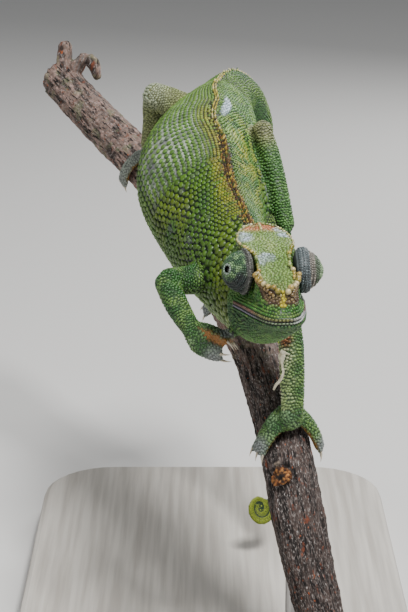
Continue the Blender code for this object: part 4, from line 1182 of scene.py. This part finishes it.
lip_piece("upper_lip_plates", upper_labials, (LIP_BROWN, srgb(96, 96, 50), srgb(160, 156, 156)), 21)
lip_piece("lower_lip_plates", lower_labials, (LIP_LAVENDER * 0.8, srgb(92, 104, 76), srgb(170, 172, 164)), 22)
dress("lip_rows", lip_rows, GRANULE_DOME, 6, 23)
dress("jaw_scales", jaw_rows, LIMB_DOME, 7, 24, spread=0.34)

# Everywhere that the rows leave bare, small granules fill in, packed as close as they fit
FILL_TRIES = 300000
GRANULE_RISE = 0.32
GRANULE_SPACING = (("head", 0.52), ("lower_jaw", 0.48), ("neck", 0.86), ("sole", 0.52), ("toes", 0.48),
                   ("torso", 0.74), ("tail", 0.60), ("upper_arm", 0.64), ("thigh", 0.64), ("forearm", 0.60),
                   ("shank", 0.60))
NECK_SPACING = 1.22


def on_the_shoulder(places):
    """From 0 to 1, where the coarse scales of the neck's and the shoulder's right side stand."""
    along, turn = body_place(places)
    trunk = np.isin(node_of(places), [NODES.index("neck"), NODES.index("torso")])
    return trunk * (along > 0.5) * (along < FLANK_START + 0.2) * ((turn < -0.15) | (turn > 0.9))


def on_stretched_skin(places):
    """Whether each place is on the rear of the right flank, where bare skin shows between the scales."""
    along, turn = body_place(places)
    torso = node_of(places) == NODES.index("torso")
    return torso & (along > FLANK_TURN + 0.15) & (along < FLANK_END - 0.7) & (turn < -0.16) & (turn > -1.9)


def skin_spacing(places):
    """How far apart granules stand on each part of the skin."""
    names = np.array(NODES)[node_of(places)]
    spacing = np.full(len(places), 0.8)
    for start, value in GRANULE_SPACING:
        spacing[np.char.startswith(names, start)] = value
    return np.where(on_the_shoulder(places), NECK_SPACING, spacing)


def fill_roots(piece, patches, taken, tries, seed):
    """Granules at random places, none nearer to a scale than their own spacing, sized to close the gaps."""
    rng = np.random.default_rng(seed)
    mesh = piece.data
    corners = np.array([[*p.vertices, p.vertices[-1]][:4] for p in mesh.polygons])
    vertices = places_of(piece)
    normals = np.array([v.normal for v in mesh.vertices])
    areas = np.array([p.area for p in mesh.polygons])
    faces = rng.choice(len(areas), tries, p=areas / areas.sum())
    a, b = rng.random((tries, 1)), rng.random((tries, 1))
    shares = np.stack([(1 - a) * (1 - b), a * (1 - b), a * b, (1 - a) * b], 1)
    places = (vertices[corners[faces]] * shares).sum(1)
    upward = (normals[corners[faces]] * shares).sum(1)
    spacing = skin_spacing(places)
    tree = KDTree(tries)
    for i, p in enumerate(places):
        tree.insert(p, i)
    tree.balance()
    bare = np.ones(tries, bool)
    for root in taken:
        for place, i, far in tree.find_range(root.place, (root.width + root.length) / 4 + 0.17):
            bare[i] = False
    kept = []
    for i in range(tries):
        if bare[i]:
            kept.append(i)
            for place, j, far in tree.find_range(places[i], spacing[i] * 0.86):
                bare[j] = False
    near = KDTree(len(kept) + len(taken))
    for n, i in enumerate(kept):
        near.insert(places[i], n)
    for n, root in enumerate(taken):
        near.insert(root.place, len(kept) + n)
    near.balance()
    roots = []
    for i in kept:
        found = near.find_n(places[i], 7)[1:]
        size = min(sum(far for place, n, far in found) / len(found) * 1.03, spacing[i] * 1.35)
        normal = Vector(upward[i]).normalized()
        roots.append(Root(Vector(places[i]), normal, normal.orthogonal(), size, size,
                          size * GRANULE_RISE, patches[faces[i]]))
    return roots


rowed = flank_roots + crest + tail_roots + limb_roots
rowed += beads + upper_labials + lower_labials + lip_rows + jaw_rows
filled = fill_roots(skin, skin_map, rowed, FILL_TRIES, 5)
filled_places = np.array([r.place for r in filled])
kinds = np.where(np.isin(node_of(filled_places), [NODES.index("head"), NODES.index("lower_jaw")]), 0, 1)
kinds[on_the_shoulder(filled_places) > 0] = 2
kinds[on_stretched_skin(filled_places)] = 3
dress("head_granules", [r._replace(height=r.height * 0.7) for r, k in zip(filled, kinds) if k == 0],
      GRANULE_DOME, 6, 4, spread=0.2)
flatness = 1 - 0.85 * palms(filled_places)
dress("body_granules", [r._replace(height=r.height * f) for r, k, f in zip(filled, kinds, flatness) if k == 1],
      GRANULE_DOME, 6, 8)
dress("neck_scales", [r for r, k in zip(filled, kinds) if k == 2], SCALE_DOME, 10, 12, spread=0.26)

# The eye turrets: cones of fused lids covered with rings of granules, each a skin of its own, that crease
# into folds where the eye has turned, and stand in a ring of smooth grey bands
TURRET_Y = 5.1
TURRET_AIM = {"right": (0.50, -0.83, 0.23), "left": (-0.03, 0.99, -0.10)}
TURRET_FACES = (0.12, 0.99, 0.06)
TURRET_VOXEL = 0.14
TURRET_ROUNDS = 6
TURRET_DEPTH = 0.12
TURRET_REACH = 3.9
TURRET_RING = {"right": 0.55, "left": 1.45}
TURRET_GRANULE = 0.46
FOLD_DEPTH = 0.13
EYEBALL_RADIUS = 0.78
EYEBALL_AT = 2.95


def turret_frame(side, direction):
    y = TURRET_Y if side == "left" else -TURRET_Y
    turn = Vector(direction).normalized().to_track_quat("Z", "Y").to_matrix().to_4x4()
    return on_head @ Matrix.Translation((0, y, 0)) @ turn


def turret_lie(side, places):
    """How far each place is turned from the aim, its height out from the head, and how low it lies."""
    inverse = np.array(turret_frame(side, TURRET_AIM[side]).inverted())
    local = places @ inverse[:3, :3].T + inverse[:3, 3]
    outward = Vector(TURRET_FACES)
    outward.y *= 1 if side == "left" else -1
    inverse = np.array(turret_frame(side, outward).inverted())
    lateral = (places @ inverse[:3, :3].T + inverse[:3, 3])[:, 2]
    inverse = np.array(on_head.inverted())
    head = places @ inverse[:3, :3].T + inverse[:3, 3]
    low = smooth_step(0.6, -1.2, head[:, 2] - 0.25 * head[:, 0])
    return np.arctan2(np.hypot(local[:, 0], local[:, 1]), local[:, 2]), lateral, low


def folds_on(side, polar, lateral, low):
    """From 0 in a fold to 1 on its crest: round the aim low on the dome, and round the foot of the ring."""
    waves = 0.5 + 0.5 * np.cos(polar * 24 + 2.2 * np.sin(lateral * 1.3))
    where = smooth_step(0.45, 0.7, polar) * (low if side == "right" else 0.75)
    ring = 1 - smooth_step(TURRET_RING[side] - 0.2, TURRET_RING[side] + 0.2, lateral)
    bands = 0.5 + 0.5 * np.cos(lateral * 8.5)
    return 1 - where * (1 - waves) * (1 - ring) - ring * (1 - bands) * 0.6, ring, where * (1 - ring)


def turret_colours(side, places):
    polar, lateral, low = turret_lie(side, places)
    folds, ring, creased = folds_on(side, polar, lateral, low)
    colours = np.tile(srgb(42, 74, 44), (len(places), 1))
    colours = over(colours, smooth_step(-0.1, 0.3, cloud(places, 0.7, 7)) * 0.8, srgb(112, 140, 92))
    if side == "right":
        colours = over(colours, creased * 0.9, srgb(34, 42, 44))
        # A pale ring round the eye's opening: a painted highlight.
        colours = over(colours, spot(polar, 0.24, 0.3), srgb(136, 146, 134))
        colours = over(colours, ring, srgb(100, 98, 90))
    else:
        colours = over(colours, creased * 0.8, srgb(104, 112, 88))
        colours = over(colours, smooth_step(2.7, 2.3, lateral), srgb(156, 144, 132))
        colours = over(colours, smooth_step(1.7, 1.4, lateral), srgb(104, 114, 116))
        pale = smooth_step(3.0, 3.5, lateral) * (0.5 + 0.5 * smooth_step(-0.2, 0.2, cloud(places, 0.6, 19)))
        colours = over(colours, pale, srgb(138, 160, 120))
    # Darker down in the folds and in the grooves between the ring's bands: painted shade.
    return over(colours, 1 - folds, srgb(30, 36, 38))


def turret(side):
    node = "eye_turret_" + side
    cover = solid_from("turret_skin_" + side, [node])[0]
    run_together(cover, 0.0, TURRET_VOXEL, TURRET_ROUNDS, TURRET_DEPTH)
    places = places_of(cover)
    normals = np.array([v.normal for v in cover.data.vertices])
    folds = folds_on(side, *turret_lie(side, places))[0]
    drop = (folds - 1)[:, None] * FOLD_DEPTH * normals
    set_places(cover, places + drop)
    tree = tree_of(cover)
    patches = unwrap(cover)
    aim = turret_frame(side, TURRET_AIM[side])
    centre = aim @ Vector((0, 0, 0.3))
    roots = []
    polar = math.radians(13)
    while polar < math.radians(150):
        count = max(6, round(2 * math.pi * TURRET_REACH * math.sin(polar) / TURRET_GRANULE))
        for i in range(count):
            turn = 2 * math.pi * (i + draw.random() * 0.25) / count
            ray = Vector((math.sin(polar) * math.cos(turn), math.sin(polar) * math.sin(turn), math.cos(polar)))
            ray = (aim.to_3x3() @ ray).normalized()
            hit, normal, face, far = tree.ray_cast((centre + ray * 8) * MM, -ray)
            if hit is None:
                continue
            lie = turret_lie(side, np.array([hit / MM]))
            above = lie[1][0]
            if above < -0.5 or folds_on(side, *lie)[0][0] < 0.35:
                continue
            on_ring = above < TURRET_RING[side]
            size = TURRET_GRANULE * draw.uniform(0.9, 1.12) * (0.86 if on_ring else 1.04)
            height = 0.09 if on_ring else 0.16
            roots.append(Root(hit / MM, normal, normal.orthogonal(), size, size, height, patches[face]))
        polar += TURRET_GRANULE * 0.9 / TURRET_REACH
    # The turret's own skin, seen between its granules, is kept at half their colour: painted shade in the gaps.
    store_tint(cover, turret_colours(side, places_of(cover)) * 0.5)
    cover.data.materials.append(skin_finish)
    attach(cover, "root")
    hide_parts(node)
    tops = varied(turret_colours(side, np.array([r.place for r in roots])), 0.34, 9)
    scale_piece("turret_scales_" + side, roots, tops, GRANULE_DOME, 6, scale_finish)


for side in ("left", "right"):
    turret(side)

# The eyeballs: wet and nearly black, with a thin bronze ring of iris
eye_finish = tinted("wet eye", 0.5, 0.05, 0.08, 0.05, 0.8)


def eyeball(side):
    aim = turret_frame(side, TURRET_AIM[side])
    centre = aim @ Vector((0, 0, EYEBALL_AT))
    bpy.ops.mesh.primitive_uv_sphere_add(segments=32, ring_count=24, radius=EYEBALL_RADIUS * MM,
                                         location=centre * MM)
    ball = bpy.context.object
    ball.name = "eye_" + side
    bpy.ops.object.transform_apply(location=True, rotation=True, scale=True)
    bpy.ops.object.shade_smooth()
    ball.select_set(False)
    places = places_of(ball)
    forward = np.array(aim.to_3x3() @ Vector((0, 0, 1)))
    toward = (places - np.array(centre)) @ forward / EYEBALL_RADIUS
    colours = np.tile(srgb(10, 8, 8), (len(places), 1))
    colours = over(colours, spot(np.abs(toward - 0.78), 0.05), srgb(84, 58, 30))
    store_tint(ball, colours)
    ball.data.materials.append(eye_finish)
    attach(ball, "root")
    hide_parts("eyeball_" + side)


for side in ("left", "right"):
    eyeball(side)

# The claws: thin curved hooks of pale horn, darker at the root, one from the end of each toe
CLAW_LENGTH = 1.6
CLAW_RADIUS = 0.30
CLAW_SIDES = 10
CLAW_RINGS = 12
claw_finish = tinted("horn", 0.3, 0.15, 0.3, 0.1, 0.5)


def claws():
    shape = bmesh.new()
    tones = []
    for base, fan, side, back in CLAWS:
        rings = []
        for k in range(CLAW_RINGS):
            share = k / (CLAW_RINGS - 1)
            centre = base + fan * (CLAW_LENGTH * (share * 1.25 - 0.35)) - back * (CLAW_LENGTH * 0.42 * share ** 2)
            radius = CLAW_RADIUS * (1 - 0.93 * share ** 1.3)
            ring = []
            for j in range(CLAW_SIDES):
                angle = 2 * math.pi * j / CLAW_SIDES
                place = centre + (side * math.sin(angle) * 0.75 + back * math.cos(angle)) * radius
                ring.append(shape.verts.new(place * MM))
                tones.append(1 - 0.45 * (1 - share))
            rings.append(ring)
        shape.faces.new(list(reversed(rings[0])))
        shape.faces.new(rings[-1])
        for a, b in zip(rings, rings[1:]):
            for j in range(CLAW_SIDES):
                m = (j + 1) % CLAW_SIDES
                shape.faces.new((a[j], a[m], b[m], b[j]))
    bmesh.ops.recalc_face_normals(shape, faces=shape.faces)
    mesh = bpy.data.meshes.new("claws")
    shape.to_mesh(mesh)
    shape.free()
    mesh.shade_smooth()
    made = linked("claws", mesh)
    store_tint(made, np.array(tones)[:, None] * srgb(214, 202, 178)[None])
    mesh.materials.append(claw_finish)
    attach(made, "root")


claws()

# Dry shed skin: a thin twisted flake that hangs from the inner side of the left forearm
FLAKE = [(12.8, -27.4, 68.9), (12.5, -28.0, 67.9), (12.5, -28.4, 66.4), (12.7, -28.8, 65.0), (12.2, -29.3, 63.7),
         (11.4, -29.6, 62.8), (10.9, -29.9, 62.0)]
FLAKE_WIDTHS = (0.5, 0.62, 0.2, 0.3, 0.24, 0.22, 0.16)
FLAKE_THICK = 0.06
FLAKE_STEPS = 40
flake_finish = tinted("dry skin", 0.4, 0.3, 0.6, 0.4, 0.3)


def flake():
    points = [Vector(p) for p in FLAKE]
    shape = bmesh.new()
    last = None
    for i in range(FLAKE_STEPS + 1):
        t = (len(points) - 1) * i / FLAKE_STEPS
        width = between([Vector((w, 0, 0)) for w in FLAKE_WIDTHS], t).x
        ahead = (between(points, min(t + 0.05, len(points) - 1)) - between(points, max(t - 0.05, 0))).normalized()
        across = ahead.cross(Vector((0.3, -1, 0.1))).normalized()
        across = Matrix.Rotation(0.5 * math.sin(t * 1.7), 3, ahead) @ across
        curl = across.cross(ahead) * 0.18
        row = [shape.verts.new((between(points, t) + across * (s * width) + curl * (s * s)) * MM)
               for s in (-1, -0.5, 0, 0.5, 1)]
        if last:
            for j in range(4):
                shape.faces.new((last[j], last[j + 1], row[j + 1], row[j]))
        last = row
    mesh = bpy.data.meshes.new("shed_skin")
    shape.to_mesh(mesh)
    shape.free()
    made = linked("shed_skin", mesh)
    wall = made.modifiers.new("thickness", "SOLIDIFY")
    wall.thickness = FLAKE_THICK * MM
    apply_all(made)
    mesh = made.data
    mesh.shade_smooth()
    places = places_of(made)
    store_tint(made, over(np.tile(srgb(196, 190, 166), (len(places), 1)),
                          smooth_step(-0.1, 0.4, cloud(places, 0.8, 15)) * 0.7, srgb(124, 108, 80)))
    mesh.materials.append(flake_finish)
    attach(made, "root")


flake()

# The branch: rough bark over the solid's own shape, torn along its length in cracks and pale fibres, with
# the faces of two sawn twigs
BARK_VOXEL = 0.30
BARK_ROUNDS = 5
BARK_DEPTH = 0.1
BRANCH_SAMPLES = 480
BRANCH_RADIUS = 4.8
Knot = namedtuple("Knot", "t round_angle radius")
SAWN_KNOT = Knot(8.38, -25, 1.68)
SMALL_KNOT = Knot(8.04, -28, 1.0)


branch = solid_from("bark", ["branch"])[0]
run_together(branch, 0.0, BARK_VOXEL, BARK_ROUNDS, BARK_DEPTH)


def branch_places(places):
    """How far along the branch each place is in millimetres, and its turn round it."""
    rows = []
    reach = 0.0
    last = None
    for i in range(BRANCH_SAMPLES):
        t = (len(BRANCH) - 1) * i / (BRANCH_SAMPLES - 1)
        middle, heading, side, back, speed = frame_at(BRANCH, t)
        reach += (middle - last).length if last else 0
        last = middle
        rows.append((reach, *middle, *side, *back, *heading))
    best, off, turn = nearest_samples(np.array(rows), places)
    return best[:, 0] + (off * best[:, 10:13]).sum(1), turn


def knot_distance(places, knot):
    """How far each place is from the middle of a sawn twig's face, and how far out along the twig it is."""
    root, outward = perch_place(knot.t, knot.round_angle, 0.0)
    heading = frame_at(BRANCH, knot.t)[1]
    off = places - np.array(root)
    ahead, aside = off @ np.array(heading), off @ np.array(outward.cross(heading))
    return np.hypot(ahead * 0.85, aside * 0.78), off @ np.array(outward)


def paint_bark():
    """Works the bark's relief and its broad colours, and stores its lie for the finer lines of its finish."""
    places = places_of(branch)
    along, turn = branch_places(places)
    lie = np.column_stack([along, np.cos(turn) * BRANCH_RADIUS, np.sin(turn) * BRANCH_RADIUS])
    ridges = 1 - np.abs(np.array([noise.noise(Vector((p[0] / 6.5, p[1] / 1.2, p[2] / 1.2))) for p in lie])) * 2.4
    fine = np.array([noise.noise(Vector((p[0] / 2.7, p[1] / 0.5, p[2] / 0.5))) for p in lie])
    flakes = cloud(places, 1.1, 8)
    push = 0.24 * ridges + 0.20 * fine + 0.14 * flakes - 0.12
    far, out = knot_distance(places, SAWN_KNOT)
    face = spot(far + 0.25 * flakes, SAWN_KNOT.radius, 0.15) * smooth_step(-1.4, -0.9, out)
    collar = spot(np.abs(far - SAWN_KNOT.radius * 1.16), 0.32, 0.6) * smooth_step(-1.4, -0.9, out)
    rings = 0.5 + 0.5 * np.cos(far * 9 + 3 * flakes)
    rough = cloud(places, 0.45, 21)
    bowl = 0.42 * smooth_step(0.4, 1.4, far + 0.4 * flakes) + 0.05 * rings + 0.40 * rough - 0.30
    push = push * (1 - face) + face * bowl
    push -= 0.4 * collar
    small_far, small_out = knot_distance(places, SMALL_KNOT)
    small = spot(small_far + 0.2 * flakes, SMALL_KNOT.radius, 0.25) * smooth_step(0.0, 0.3, small_out)
    normals = np.array([v.normal for v in branch.data.vertices])
    set_places(branch, places + normals * push[:, None])

    # Much darker towards the lower end of the branch: painted shade.
    lower = smooth_step(95, 125, along)
    wood = np.tile(srgb(110, 91, 82), (len(places), 1))
    wood = over(wood, smooth_step(-0.1, 0.4, cloud(places, 5, 9)) * 0.6, srgb(138, 113, 102))
    wood = over(wood, lower * 0.85, srgb(40, 33, 31))
    # Near black down in the bark's troughs: partly the bark's own dark and partly painted shade in the cracks.
    wood = over(wood, (1 - smooth_step(0.0, 0.7, ridges)) * 0.85, srgb(20, 16, 15))
    wood = over(wood, smooth_step(0.2, 0.45, cloud(places, 1.3, 11)) * (1 - lower) * 0.6, srgb(166, 138, 128))
    wood = over(wood, smooth_step(0.15, 0.45, cloud(places, 2.6, 16)) * (1 - lower) * 0.5, srgb(98, 104, 74))
    wood = over(wood, face, srgb(116, 70, 36))
    wood = over(wood, face * smooth_step(0.1, 0.4, rough) * 0.8, srgb(176, 124, 68))
    wood = over(wood, face * smooth_step(0.0, 0.25, -rough), srgb(44, 24, 12))
    wood = over(wood, face * spot(far + 0.5 * flakes + 0.35 * rough, 0.92, 0.4), srgb(16, 11, 9))
    # The dark collar round the sawn face: painted shade in its groove.
    wood = over(wood, collar * 0.85, srgb(18, 14, 12))
    wood = over(wood, small * 0.8, srgb(112, 100, 88))
    wood = over(wood, small * spot(small_far, 0.4, 0.5), srgb(30, 20, 14))
    store_tint(branch, np.clip(wood * (1 + 0.35 * flakes[:, None]), 0, 1))
    lies = branch.data.attributes.new("lie", "FLOAT_VECTOR", "POINT")
    lies.data.foreach_set("vector", lie.astype(np.float32).ravel())
    clear = branch.data.attributes.new("clear", "FLOAT", "POINT")
    clear.data.foreach_set("value", (1 - np.clip(face + small, 0, 1)).astype(np.float32))


def lines_of(nodes, links, lie, size, detail, low, high):
    """A mask from 0 to 1 of noise drawn out to a size along, and a size across, the branch."""
    shrink = nodes.new("ShaderNodeVectorMath")
    shrink.operation = "DIVIDE"
    shrink.inputs[1].default_value = size
    links.new(lie, shrink.inputs[0])
    lines = nodes.new("ShaderNodeTexNoise")
    lines.inputs["Scale"].default_value = 1
    lines.inputs["Detail"].default_value = detail
    links.new(shrink.outputs[0], lines.inputs["Vector"])
    cut = nodes.new("ShaderNodeMapRange")
    cut.inputs["From Min"].default_value = low
    cut.inputs["From Max"].default_value = high
    links.new(lines.outputs["Fac"], cut.inputs["Value"])
    return cut.outputs["Result"]


def bark_finish():
    """Bark with pale fibres and dark cracks along it, and flecks of rust where it has flaked."""
    made = tinted("bark", 0.5, 0.4, 0.85, 1.0, 0.3)
    nodes, links = made.node_tree.nodes, made.node_tree.links
    shader = nodes["Principled BSDF"]
    rough = shader.inputs["Base Color"].links[0].from_node
    tint = rough.inputs["Color"].links[0].from_node
    lie = nodes.new("ShaderNodeAttribute")
    lie.attribute_name = "lie"
    clear = nodes.new("ShaderNodeAttribute")
    clear.attribute_name = "clear"
    colour = tint.outputs["Color"]
    # The near-black third set of lines are cracks drawn in colour only: painted shade where the bark is split.
    for size, detail, low, high, paint in (
        ((0.75, 0.20, 0.20), 3, 0.52, 0.66, srgb(104, 96, 92)),
        ((0.60, 0.16, 0.16), 2, 0.62, 0.72, srgb(160, 154, 150)),
        ((2.2, 0.42, 0.42), 3, 0.44, 0.36, srgb(12, 10, 10)),
        ((1.9, 1.0, 1.0), 4, 0.62, 0.70, srgb(92, 50, 34)),
        ((1.1, 0.55, 0.55), 3, 0.68, 0.73, srgb(142, 72, 34)),
    ):
        mask = nodes.new("ShaderNodeMath")
        mask.operation = "MULTIPLY"
        links.new(lines_of(nodes, links, lie.outputs["Vector"], size, detail, low, high), mask.inputs[0])
        links.new(clear.outputs["Fac"], mask.inputs[1])
        mix = nodes.new("ShaderNodeMix")
        mix.data_type = "RGBA"
        under, paint_on, mixed = mix.inputs[6], mix.inputs[7], mix.outputs[2]
        paint_on.default_value = (*paint, 1)
        links.new(mask.outputs[0], mix.inputs["Factor"])
        links.new(colour, under)
        colour = mixed
    links.new(colour, rough.inputs["Color"])
    return made


paint_bark()
branch.data.materials.append(bark_finish())
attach(branch, "root")
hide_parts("branch")


# The stand: a pale board with a fine straight grain, and two rods of brushed steel
def board_finish():
    made = bpy.data.materials.new("pale board")
    made.use_nodes = True
    nodes, links = made.node_tree.nodes, made.node_tree.links
    shader = nodes["Principled BSDF"]
    place = nodes.new("ShaderNodeTexCoord")
    stretch = nodes.new("ShaderNodeMapping")
    stretch.inputs["Scale"].default_value = (220, 9, 220)
    links.new(place.outputs["Object"], stretch.inputs["Vector"])
    lines = nodes.new("ShaderNodeTexNoise")
    lines.inputs["Scale"].default_value = 3
    lines.inputs["Detail"].default_value = 5
    links.new(stretch.outputs[0], lines.inputs["Vector"])
    ramp = nodes.new("ShaderNodeValToRGB")
    ramp.color_ramp.elements[0].position = 0.35
    ramp.color_ramp.elements[0].color = (0.36, 0.33, 0.29, 1)
    ramp.color_ramp.elements[1].position = 0.65
    ramp.color_ramp.elements[1].color = (0.50, 0.47, 0.42, 1)
    links.new(lines.outputs["Fac"], ramp.inputs["Fac"])
    links.new(ramp.outputs["Color"], shader.inputs["Base Color"])
    bump = nodes.new("ShaderNodeBump")
    bump.inputs["Distance"].default_value = 0.0001
    bump.inputs["Strength"].default_value = 0.3
    links.new(lines.outputs["Fac"], bump.inputs["Height"])
    links.new(bump.outputs[0], shader.inputs["Normal"])
    shader.inputs["Roughness"].default_value = 0.55
    return made


def steel_finish():
    made = bpy.data.materials.new("brushed steel")
    made.use_nodes = True
    nodes, links = made.node_tree.nodes, made.node_tree.links
    shader = nodes["Principled BSDF"]
    shader.inputs["Base Color"].default_value = (0.55, 0.55, 0.56, 1)
    shader.inputs["Metallic"].default_value = 1
    place = nodes.new("ShaderNodeTexCoord")
    stretch = nodes.new("ShaderNodeMapping")
    stretch.inputs["Scale"].default_value = (300, 300, 9000)
    links.new(place.outputs["Object"], stretch.inputs["Vector"])
    lines = nodes.new("ShaderNodeTexNoise")
    lines.inputs["Scale"].default_value = 1
    links.new(stretch.outputs[0], lines.inputs["Vector"])
    spread = nodes.new("ShaderNodeMapRange")
    spread.inputs["To Min"].default_value = 0.25
    spread.inputs["To Max"].default_value = 0.45
    links.new(lines.outputs["Fac"], spread.inputs["Value"])
    links.new(spread.outputs["Result"], shader.inputs["Roughness"])
    return made


board, steel = board_finish(), steel_finish()
for node, finish in (("stand_base", board), ("stand_peg", steel), ("stand_rod", steel)):
    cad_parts[node].data.materials.clear()
    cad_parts[node].data.materials.append(finish)


# The floor, the light and the camera
def plane(name, size, location, rotation=(0, 0, 0)):
    bpy.ops.mesh.primitive_plane_add(size=size, location=location, rotation=rotation)
    made = bpy.context.object
    made.name = name
    made.select_set(False)
    return made


floor = plane("floor", 6, (0, 0, -0.0002))
pale = bpy.data.materials.new("pale floor")
pale.use_nodes = True
pale.node_tree.nodes["Principled BSDF"].inputs["Base Color"].default_value = (0.62, 0.61, 0.59, 1)
pale.node_tree.nodes["Principled BSDF"].inputs["Roughness"].default_value = 0.9
floor.data.materials.append(pale)


def softbox(name, place, target, size, power):
    lamp = bpy.data.lights.new(name, "AREA")
    lamp.size = size
    lamp.energy = power
    made = linked(name, lamp)
    made.location = place
    made.rotation_euler = (Vector(target) - Vector(place)).to_track_quat("-Z", "Y").to_euler()


MIDDLE = (0, -0.01, 0.085)
softbox("key", (0.16, -0.24, 0.62), MIDDLE, 0.16, 7.0)
softbox("fill", (-0.45, -0.35, 0.25), MIDDLE, 0.4, 1.2)
softbox("rim", (0.25, 0.45, 0.35), MIDDLE, 0.3, 2.0)
world = bpy.data.worlds.new("studio")
world.use_nodes = True
world.node_tree.nodes["Background"].inputs["Color"].default_value = (0.85, 0.88, 0.92, 1)
world.node_tree.nodes["Background"].inputs["Strength"].default_value = 0.22
bpy.context.scene.world = world

camera = bpy.data.cameras.new("camera")
camera.lens = 100
camera.sensor_width = 36
camera.clip_start = 0.01
viewer = linked("camera", camera)
viewer.location = (-0.002, -0.327, 0.175)
viewer.rotation_euler = (math.radians(72), 0, 0)
bpy.context.scene.camera = viewer
